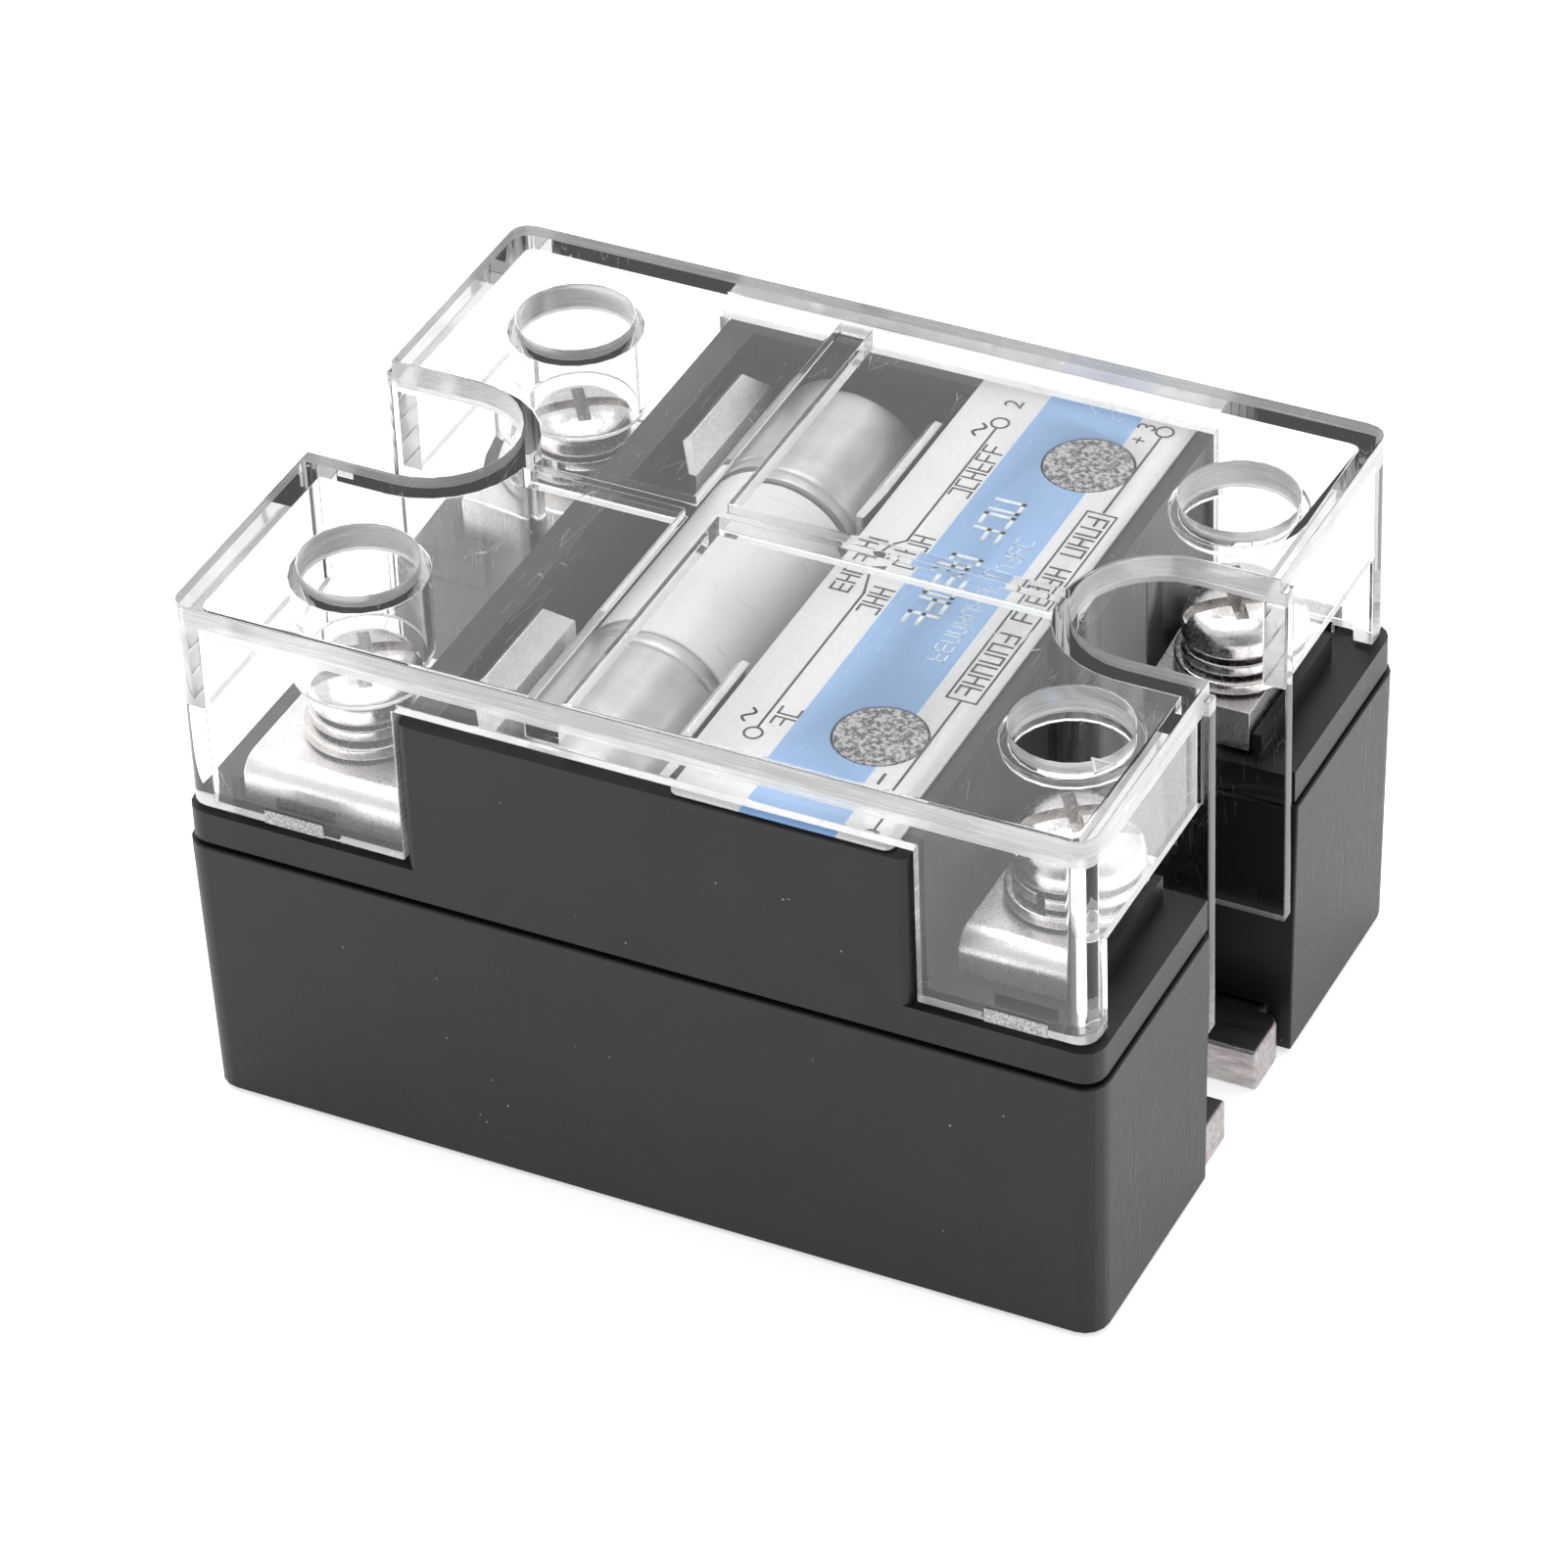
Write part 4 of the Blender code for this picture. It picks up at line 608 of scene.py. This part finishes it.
def thread(shape, top, tip, crest, steps=56):
    """Adds a screw thread between two heights, drawn in at its tip."""
    rows = round((top - tip) / THREAD_PITCH * 9)
    rings = []
    for row in range(rows + 1):
        height = tip + (top - tip) * row / rows
        taper = min(1.0, 0.78 + 0.22 * (height - tip) / THREAD_PITCH)
        ring = []
        for step in range(steps):
            angle = 2 * math.pi * step / steps
            phase = (height / THREAD_PITCH - step / steps) % 1.0
            ridge = min(1.0, max(0.0, 1.5 - 3.4 * abs(phase - 0.5)))
            radius = (crest - THREAD_DEPTH * (1 - ridge)) * taper
            ring.append(shape.verts.new((radius * math.cos(angle), radius * math.sin(angle),
                                         height)))
        rings.append(ring)
    for lower, upper in zip(rings, rings[1:]):
        for step in range(steps):
            after = (step + 1) % steps
            shape.faces.new((lower[step], lower[after], upper[after], upper[step]))
    shape.faces.new(list(reversed(rings[0])))
    shape.faces.new(rings[-1])


def terminal_screw(number):
    """A pan head screw: domed head with a slot and a cross in it, and a real helical thread."""
    node = f"terminal_screw_{number}"
    axis = SCREW_AXIS[number]
    low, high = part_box(node)
    head_radius = (high.x - low.x) / 2
    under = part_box(f"spring_washer_{number}")[1].z + 0.2 * mm
    rise = high.z - under
    dome = [(0, high.z), (0.42 * head_radius, high.z - 0.01 * rise),
            (0.72 * head_radius, high.z - 0.1 * rise), (0.9 * head_radius, high.z - 0.26 * rise),
            (0.985 * head_radius, high.z - 0.5 * rise), (head_radius, high.z - 0.72 * rise),
            (head_radius, under + 0.1 * rise), (0.96 * head_radius, under), (0, under)]
    head = turned(softened(dome, 0.5 * mm, 5))
    deep = high.z - 0.45 * rise
    cutters = [wedge(2.4 * head_radius, 1.0 * mm, 0.86 * mm, deep, high.z + mm, DRIVE_TURN),
               wedge(3.7 * mm, 0.95 * mm, 0.6 * mm, high.z - 0.64 * rise, high.z + mm,
                     DRIVE_TURN + math.pi / 2)]
    shape = bmesh.new()
    shape.from_mesh(carved(head, cutters))
    thread(shape, under + 0.02 * mm, low.z, THREAD_CREST)
    made = piece(f"{node}_fine", shape, SCREW_PLATE, body_of(node),
                 (axis.x, axis.y, 0))
    edges = made.modifiers.new("worn_edges", "BEVEL")
    edges.width = 0.05 * mm
    edges.limit_method = "ANGLE"
    edges.angle_limit = math.radians(50)
    smooth(made, 40)
    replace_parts(made, node)


def flat_washer(number):
    node = f"flat_washer_{number}"
    axis = SCREW_AXIS[number]
    low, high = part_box(node)
    radius = (high.x - low.x) / 2
    section = [(radius, high.z), (radius, low.z), (WASHER_BORE, low.z), (WASHER_BORE, high.z)]
    ring = turned(softened(section, 0.16 * mm, 4, True), closed=True)
    made = piece(f"{node}_fine", ring, SCREW_PLATE, body_of(node),
                 (axis.x, axis.y, 0))
    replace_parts(smooth(made), node)


def spring_washer(number):
    """A square-section ring, cut through and sprung so that its two ends don't meet."""
    node = f"spring_washer_{number}"
    axis = SCREW_AXIS[number]
    low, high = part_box(node)
    radius = (high.x - low.x) / 2
    height = high.z - low.z - SPRING_LIFT
    corners = [(radius, height), (radius, 0), (WASHER_BORE, 0), (WASHER_BORE, height)]
    section = softened(corners, 0.14 * mm, 3, True)
    shape = bmesh.new()
    steps, turn = 72, 2 * math.pi - SPRING_GAP
    rows = []
    for step in range(steps + 1):
        angle = DRIVE_TURN + number + SPRING_GAP / 2 + turn * step / steps
        base = low.z + SPRING_LIFT * step / steps
        rows.append([shape.verts.new((r * math.cos(angle), r * math.sin(angle), base + z))
                     for r, z in section])
    for near, far in zip(rows, rows[1:]):
        for index in range(len(section)):
            after = (index + 1) % len(section)
            shape.faces.new((near[index], near[after], far[after], far[index]))
    shape.faces.new(rows[0])
    shape.faces.new(rows[-1])
    bmesh.ops.recalc_face_normals(shape, faces=shape.faces)
    made = piece(f"{node}_fine", shape, SCREW_PLATE, body_of(node),
                 (axis.x, axis.y, 0))
    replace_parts(smooth(made), node)


# ---- fuse ----------------------------------------------------------------------------------------
def along_fuse(shape, side=1):
    """Lays a turned shape down so that its axis runs along Y, towards that side."""
    shape.transform(Matrix.Rotation(math.radians(-90 * side), 4, "X"))
    return shape


def fuse():
    """Ceramic tube with drawn metal caps, each with a rolled edge where it grips the tube."""
    low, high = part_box("fuse_tube")
    cap_low, cap_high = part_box("fuse_cap_rear")
    tube_radius = (high.z - low.z) / 2
    cap_radius = (cap_high.z - cap_low.z) / 2
    half = high.y
    shoulder = cap_low.y - 0.2 * mm
    spigot = cap_radius - 0.66 * mm
    bore = 3.3 * mm
    section = [(spigot, half), (spigot, shoulder), (tube_radius, shoulder),
               (tube_radius, -shoulder), (spigot, -shoulder), (spigot, -half), (bore, -half),
               (bore, half)]
    tube = turned(softened(section, 0.25 * mm, 4, True), 96, True)
    made = piece("fuse_tube_fine", along_fuse(tube), CERAMIC, body_of("fuse_tube"),
                 FUSE_AXIS)
    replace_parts(smooth(made), "fuse_tube")
    for end, side in (("front", -1), ("rear", 1)):
        node = f"fuse_cap_{end}"
        inner = cap_radius - 0.45 * mm
        end_in = cap_high.y - 0.45 * mm
        groove = cap_low.y + 1.1 * mm
        dish = cap_high.y - 0.12 * mm
        outline = [(0, dish), (cap_radius - 1.3 * mm, dish),
                   (cap_radius - 1.0 * mm, cap_high.y), (cap_radius - 0.05 * mm, cap_high.y),
                   (cap_radius, cap_high.y - 0.7 * mm), (cap_radius, groove + 0.3 * mm),
                   (cap_radius - 0.06 * mm, groove), (cap_radius, groove - 0.3 * mm),
                   (cap_radius, cap_low.y), (inner, cap_low.y), (inner, end_in), (0, end_in)]
        cap = turned(softened(outline, 0.45 * mm, 5), 96)
        made = piece(f"{node}_fine", along_fuse(cap, side), CAP_METAL, body_of(node),
                     FUSE_AXIS)
        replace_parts(smooth(made, 50), node)


def clip_rivet(end):
    node = f"clip_rivet_{end}"
    low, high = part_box(node)
    centre = middle(node)
    head_radius = (high.x - low.x) / 2
    shank, head = 1.5 * mm, 0.7 * mm
    outline = [(0, high.z), (0.7 * head_radius, high.z - 0.05 * mm), (head_radius, high.z - head),
               (shank, high.z - head), (shank, low.z + head), (head_radius, low.z + head),
               (0.7 * head_radius, low.z), (0, low.z)]
    made = piece(f"{node}_fine", turned(softened(outline, 0.2 * mm), 48), TINNED_METAL,
                 body_of(node), (centre.x, centre.y, 0))
    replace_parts(smooth(made), node)


# ---- windows and label ---------------------------------------------------------------------------
FLANGE_WIDTH = 0.6 * mm             # how far a window's flange stands out, and how thick it is
WINDOW_OVERLAP = 0.45 * mm          # from a window's flange to the hole in the label
INK_THICKNESS = 0.008 * mm


def window(node):
    """A frosted disc whose top edge is rounded."""
    low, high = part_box(node)
    centre = middle(node)
    flange = (high.x - low.x) / 2
    radius = flange - FLANGE_WIDTH
    step = low.z + FLANGE_WIDTH
    outline = [(0, high.z), (radius, high.z), (radius, step), (flange, step), (flange, low.z),
               (0, low.z)]
    slot = slot_of(node)
    made = piece(f"{node}_fine", turned(softened(outline, 0.08 * mm), 96), SLOT_FINISH[slot],
                 body_of(node), (centre.x, centre.y, 0))
    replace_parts(smooth(made), node)


def label():
    """The printed film, with a hole for each window."""
    shape = bmesh.new()
    low, high = LABEL_LOW, LABEL_HIGH
    bmesh.ops.create_cube(shape, size=1)
    for vert in shape.verts:
        vert.co = [high[axis] if vert.co[axis] > 0 else low[axis] for axis in range(3)]
    upright = [edge for edge in shape.edges if edge.verts[0].co.x == edge.verts[1].co.x
               and edge.verts[0].co.y == edge.verts[1].co.y]
    bmesh.ops.bevel(shape, geom=upright, offset=0.6 * mm, segments=6, affect="EDGES", profile=0.5)
    holes = []
    for node in ("led_window", "blank_window"):
        centre = middle(node)
        window_low, window_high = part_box(node)
        radius = (window_high.x - window_low.x) / 2 - WINDOW_OVERLAP
        hole = bmesh.new()
        bmesh.ops.create_cone(hole, cap_ends=True, segments=96, radius1=radius, radius2=radius,
                              depth=2 * mm,
                              matrix=Matrix.Translation((centre.x, centre.y, high.z)))
        holes.append(hole)
    made = piece("label_fine", carved(shape, holes), SLOT_FINISH["label_paper"],
                 body_of("label"))
    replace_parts(made, "label")


class Print:
    """Flat ink shapes on the label: x across it from its left edge and y along it, in mm."""

    def __init__(self):
        self.shape = bmesh.new()
        self.level = LABEL_HIGH.z + 0.012 * mm

    def area(self, points):
        corners = [(LABEL_LOW.x + x * mm, y * mm, self.level) for x, y in points]
        self.shape.faces.new([self.shape.verts.new(corner) for corner in corners])

    def line(self, start, end, width=0.16):
        start, end = Vector(start), Vector(end)
        along = (end - start).normalized() * width / 2
        across = Vector((-along.y, along.x))
        self.area([start - along - across, end + along - across, end + along + across,
                   start - along + across])

    def ring(self, x, y, radius, width=0.16, steps=32):
        angles = [2 * math.pi * k / steps for k in range(steps)]
        points = [(math.cos(angle), math.sin(angle)) for angle in angles]
        for near, far in zip(points, points[1:] + points[:1]):
            corners = ((radius - width, near), (radius, near), (radius, far), (radius - width, far))
            self.area([(x + r * u, y + r * v) for r, (u, v) in corners])

    def wave(self, x, y, length=1.3, height=0.28, width=0.17, steps=12):
        """A tilde lying along the label."""
        path = [(x - height * math.sin(2 * math.pi * k / steps), y + length * (k / steps - 0.5))
                for k in range(steps + 1)]
        for start, end in zip(path, path[1:]):
            self.line(start, end, width)

    def figure(self, text, x, y, size=1.7):
        """A numeral that reads along the label, its top towards the load end."""
        curve = bpy.data.curves.new("figure", "FONT")
        curve.body = text
        curve.size = size * mm
        curve.align_x = "CENTER"
        curve.align_y = "CENTER"
        helper = bpy.data.objects.new("figure", curve)
        bpy.context.scene.collection.objects.link(helper)
        bpy.context.view_layer.update()
        graph = bpy.context.evaluated_depsgraph_get()
        mesh = bpy.data.meshes.new_from_object(helper.evaluated_get(graph), depsgraph=graph)
        bpy.data.objects.remove(helper, do_unlink=True)
        mesh.transform(Matrix.Translation((LABEL_LOW.x + x * mm, y * mm, self.level))
                       @ Matrix.Rotation(math.pi / 2, 4, "Z"))
        self.shape.from_mesh(mesh)

    def strokes(self, x, start, end, height, pitch, width=0.15, seed=1):
        """A row of made-up strokes the size of letters, which stands for a line of text."""
        choose = random.Random(seed)
        cell = 0.66 * pitch
        y = start
        while y + cell <= end:
            left, right, foot, top = y, y + cell, x + height / 2, x - height / 2
            kinds = choose.sample(("stem", "tail", "foot", "top", "bar"), 3)
            if "stem" in kinds or "tail" not in kinds:
                self.line((foot, left), (top, left), width)
            if "tail" in kinds:
                self.line((foot, right), (top, right), width)
            if "foot" in kinds:
                self.line((foot, left), (foot, right), width)
            if "top" in kinds:
                self.line((top, left), (top, right), width)
            if "bar" in kinds:
                self.line((x, left), (x, right), width)
            y += pitch * (2 if choose.random() < 0.12 else 1)

    def finished(self, name, ink):
        """Gives the ink its thickness and makes it a piece on the label."""
        grown = bmesh.ops.extrude_face_region(self.shape, geom=list(self.shape.faces))
        lowered = [item for item in grown["geom"] if isinstance(item, bmesh.types.BMVert)]
        bmesh.ops.translate(self.shape, verts=lowered, vec=(0, 0, -INK_THICKNESS))
        bmesh.ops.recalc_face_normals(self.shape, faces=self.shape.faces)
        piece(name, self.shape, ink, body_of("label"))


def label_print():
    """The relay's circuit as it is drawn on the label, with rows of strokes in place of words."""
    dark = Print()
    dark.ring(2.75, -16.6, 0.62)
    dark.ring(2.85, 17.5, 0.62)
    dark.line((2.75, -15.95), (2.75, -1.7))
    dark.line((2.75, -1.7), (2.1, 0.6))
    dark.area([(1.75, 1.5), (2.85, 2.0), (2.85, 0.2)])
    dark.line((2.3, 2.8), (2.3, 3.5))
    dark.line((2.3, 3.5), (2.85, 4.1))
    dark.line((2.85, 4.1), (2.85, 16.8))
    dark.wave(1.75, -15.1)
    dark.wave(1.95, 16.4)
    dark.figure("1", 2.75, -18.6)
    dark.figure("2", 2.85, 19.7)
    dark.strokes(3.85, -15.3, -12.4, 1.25, 1.0, seed=3)
    dark.strokes(1.25, -2.0, 4.1, 1.15, 0.98, seed=5)
    dark.strokes(3.7, -3.4, 5.2, 1.25, 0.95, seed=7)
    dark.strokes(3.7, 9.5, 16.0, 1.25, 0.98, seed=9)
    dark.ring(12.45, 20.5, 0.62)
    dark.ring(12.45, -20.9, 0.62)
    dark.line((12.45, 19.8), (12.45, 11.3))
    dark.line((12.45, -9.2), (12.45, -20.2))
    frame_corners = [(11.5, -9.1), (11.5, 11.1), (13.4, 11.1), (13.4, -9.1)]
    for start, end in zip(frame_corners, frame_corners[1:] + frame_corners[:1]):
        dark.line(start, end, 0.14)
    dark.strokes(12.45, -8.5, 0.3, 1.25, 1.12, 0.17, seed=11)
    dark.strokes(12.45, 2.0, 10.6, 1.25, 1.12, 0.17, seed=13)
    dark.figure("3", 11.3, 20.6)
    dark.figure("+", 11.4, 19.1, 1.6)
    dark.figure("4", 11.3, -21.1)
    dark.line((11.4, -18.1), (11.4, -17.2), 0.2)
    dark.finished("label_print", INK)
    pale = Print()
    pale.strokes(6.9, -3.3, 12.7, 1.75, 1.55, 0.3, seed=17)
    pale.strokes(9.4, -6.1, 7.0, 1.05, 0.95, 0.1, seed=19)
    pale.finished("label_print_pale", FAINT_INK)


# ---- pieces --------------------------------------------------------------------------------------
refined("base_plate", 0.25 * mm, segments=3)
refined("lower_case", 0.3 * mm, segments=3)
refined("upper_case", 0.22 * mm)
clear_cover()
for number, (end, side) in enumerate(((-1, -1), (-1, 1), (1, 1), (1, -1)), 1):
    tab_root(number, TAB_X[end], side)
moulded_arrow()
for number in SCREW_NUMBERS:
    refined(f"terminal_{number}", 0.2 * mm)
    flat_washer(number)
    spring_washer(number)
    terminal_screw(number)
fuse()
for end in ("front", "rear"):
    refined(f"fuse_clip_{end}", 0.1 * mm)
    clip_rivet(end)
window("led_window")
window("blank_window")
label()
label_print()


# ---- stage ---------------------------------------------------------------------------------------
FLOOR_RADIUS = 3.0
FLOOR_GLOW = 0.6                    # keeps the floor white under the relay
DARK_SIDE = (0.41, -0.83, 0.37)     # towards the camera, where the studio is dimmest
DIMMEST = 0.25


def floor():
    shape = bmesh.new()
    bmesh.ops.create_circle(shape, cap_ends=True, segments=96, radius=FLOOR_RADIUS)
    mesh = bpy.data.meshes.new("floor")
    shape.to_mesh(mesh)
    shape.free()
    made = bpy.data.objects.new("floor", mesh)
    made.location.z = cad_low.z - 0.02 * mm
    finish = Finish("floor", (0.9, 0.9, 0.9), 0.9)
    finish.shader.inputs["Emission Color"].default_value = (1, 1, 1, 1)
    finish.shader.inputs["Emission Strength"].default_value = FLOOR_GLOW
    mesh.materials.append(finish.material)
    bpy.context.scene.collection.objects.link(made)


def area_light(name, place, target, size, power):
    data = bpy.data.lights.new(name, "AREA")
    data.shape = "RECTANGLE"
    data.size, data.size_y = size
    data.energy = power
    made = bpy.data.objects.new(name, data)
    made.location = place
    made.rotation_euler = (Vector(target) - Vector(place)).to_track_quat("-Z", "Y").to_euler()
    bpy.context.scene.collection.objects.link(made)


def surroundings():
    """White studio walls, darker towards the side that the camera stands on."""
    world = bpy.data.worlds.new("studio")
    world.use_nodes = True
    tree = world.node_tree
    background = tree.nodes["Background"]
    place = tree.nodes.new("ShaderNodeTexCoord")
    towards = tree.nodes.new("ShaderNodeVectorMath")
    towards.operation = "DOT_PRODUCT"
    towards.inputs[1].default_value = DARK_SIDE
    tree.links.new(place.outputs["Generated"], towards.inputs[0])
    shade = tree.nodes.new("ShaderNodeMapRange")
    shade.interpolation_type = "SMOOTHSTEP"
    for socket, value in (("From Min", 0.55), ("From Max", 0.95), ("To Min", 1.0),
                          ("To Max", DIMMEST)):
        shade.inputs[socket].default_value = value
    tree.links.new(towards.outputs["Value"], shade.inputs["Value"])
    tree.links.new(shade.outputs[0], background.inputs["Strength"])
    background.inputs["Color"].default_value = (1, 1, 1, 1)
    bpy.context.scene.world = world


CAMERA_AZIMUTH = 27.30
CAMERA_ELEVATION = 37.25
CAMERA_ROLL = -2.48
CAMERA_DISTANCE = 432.1 * mm
CAMERA_AIM = Vector((-1.12, 0.20, 16.0)) * mm
CAMERA_LENS = 162.76
SENSOR_WIDTH = 36.0


def camera():
    azimuth, elevation = math.radians(CAMERA_AZIMUTH), math.radians(CAMERA_ELEVATION)
    back = Vector((math.sin(azimuth) * math.cos(elevation),
                   -math.cos(azimuth) * math.cos(elevation), math.sin(elevation)))
    data = bpy.data.cameras.new("camera")
    data.lens = CAMERA_LENS
    data.sensor_width = SENSOR_WIDTH
    data.clip_start = 0.01
    data.clip_end = 20.0
    made = bpy.data.objects.new("camera", data)
    turn = (-back).to_track_quat("-Z", "Y").to_matrix().to_4x4()
    made.matrix_world = (Matrix.Translation(CAMERA_AIM + back * CAMERA_DISTANCE) @ turn
                         @ Matrix.Rotation(math.radians(CAMERA_ROLL), 4, "Z"))
    bpy.context.scene.collection.objects.link(made)
    bpy.context.scene.camera = made


floor()
surroundings()
area_light("overhead", (-0.15, 0.25, 0.7), (0, 0, 0.02), (0.7, 0.5), 3.0)
camera()
bpy.context.scene.view_settings.view_transform = "Standard"
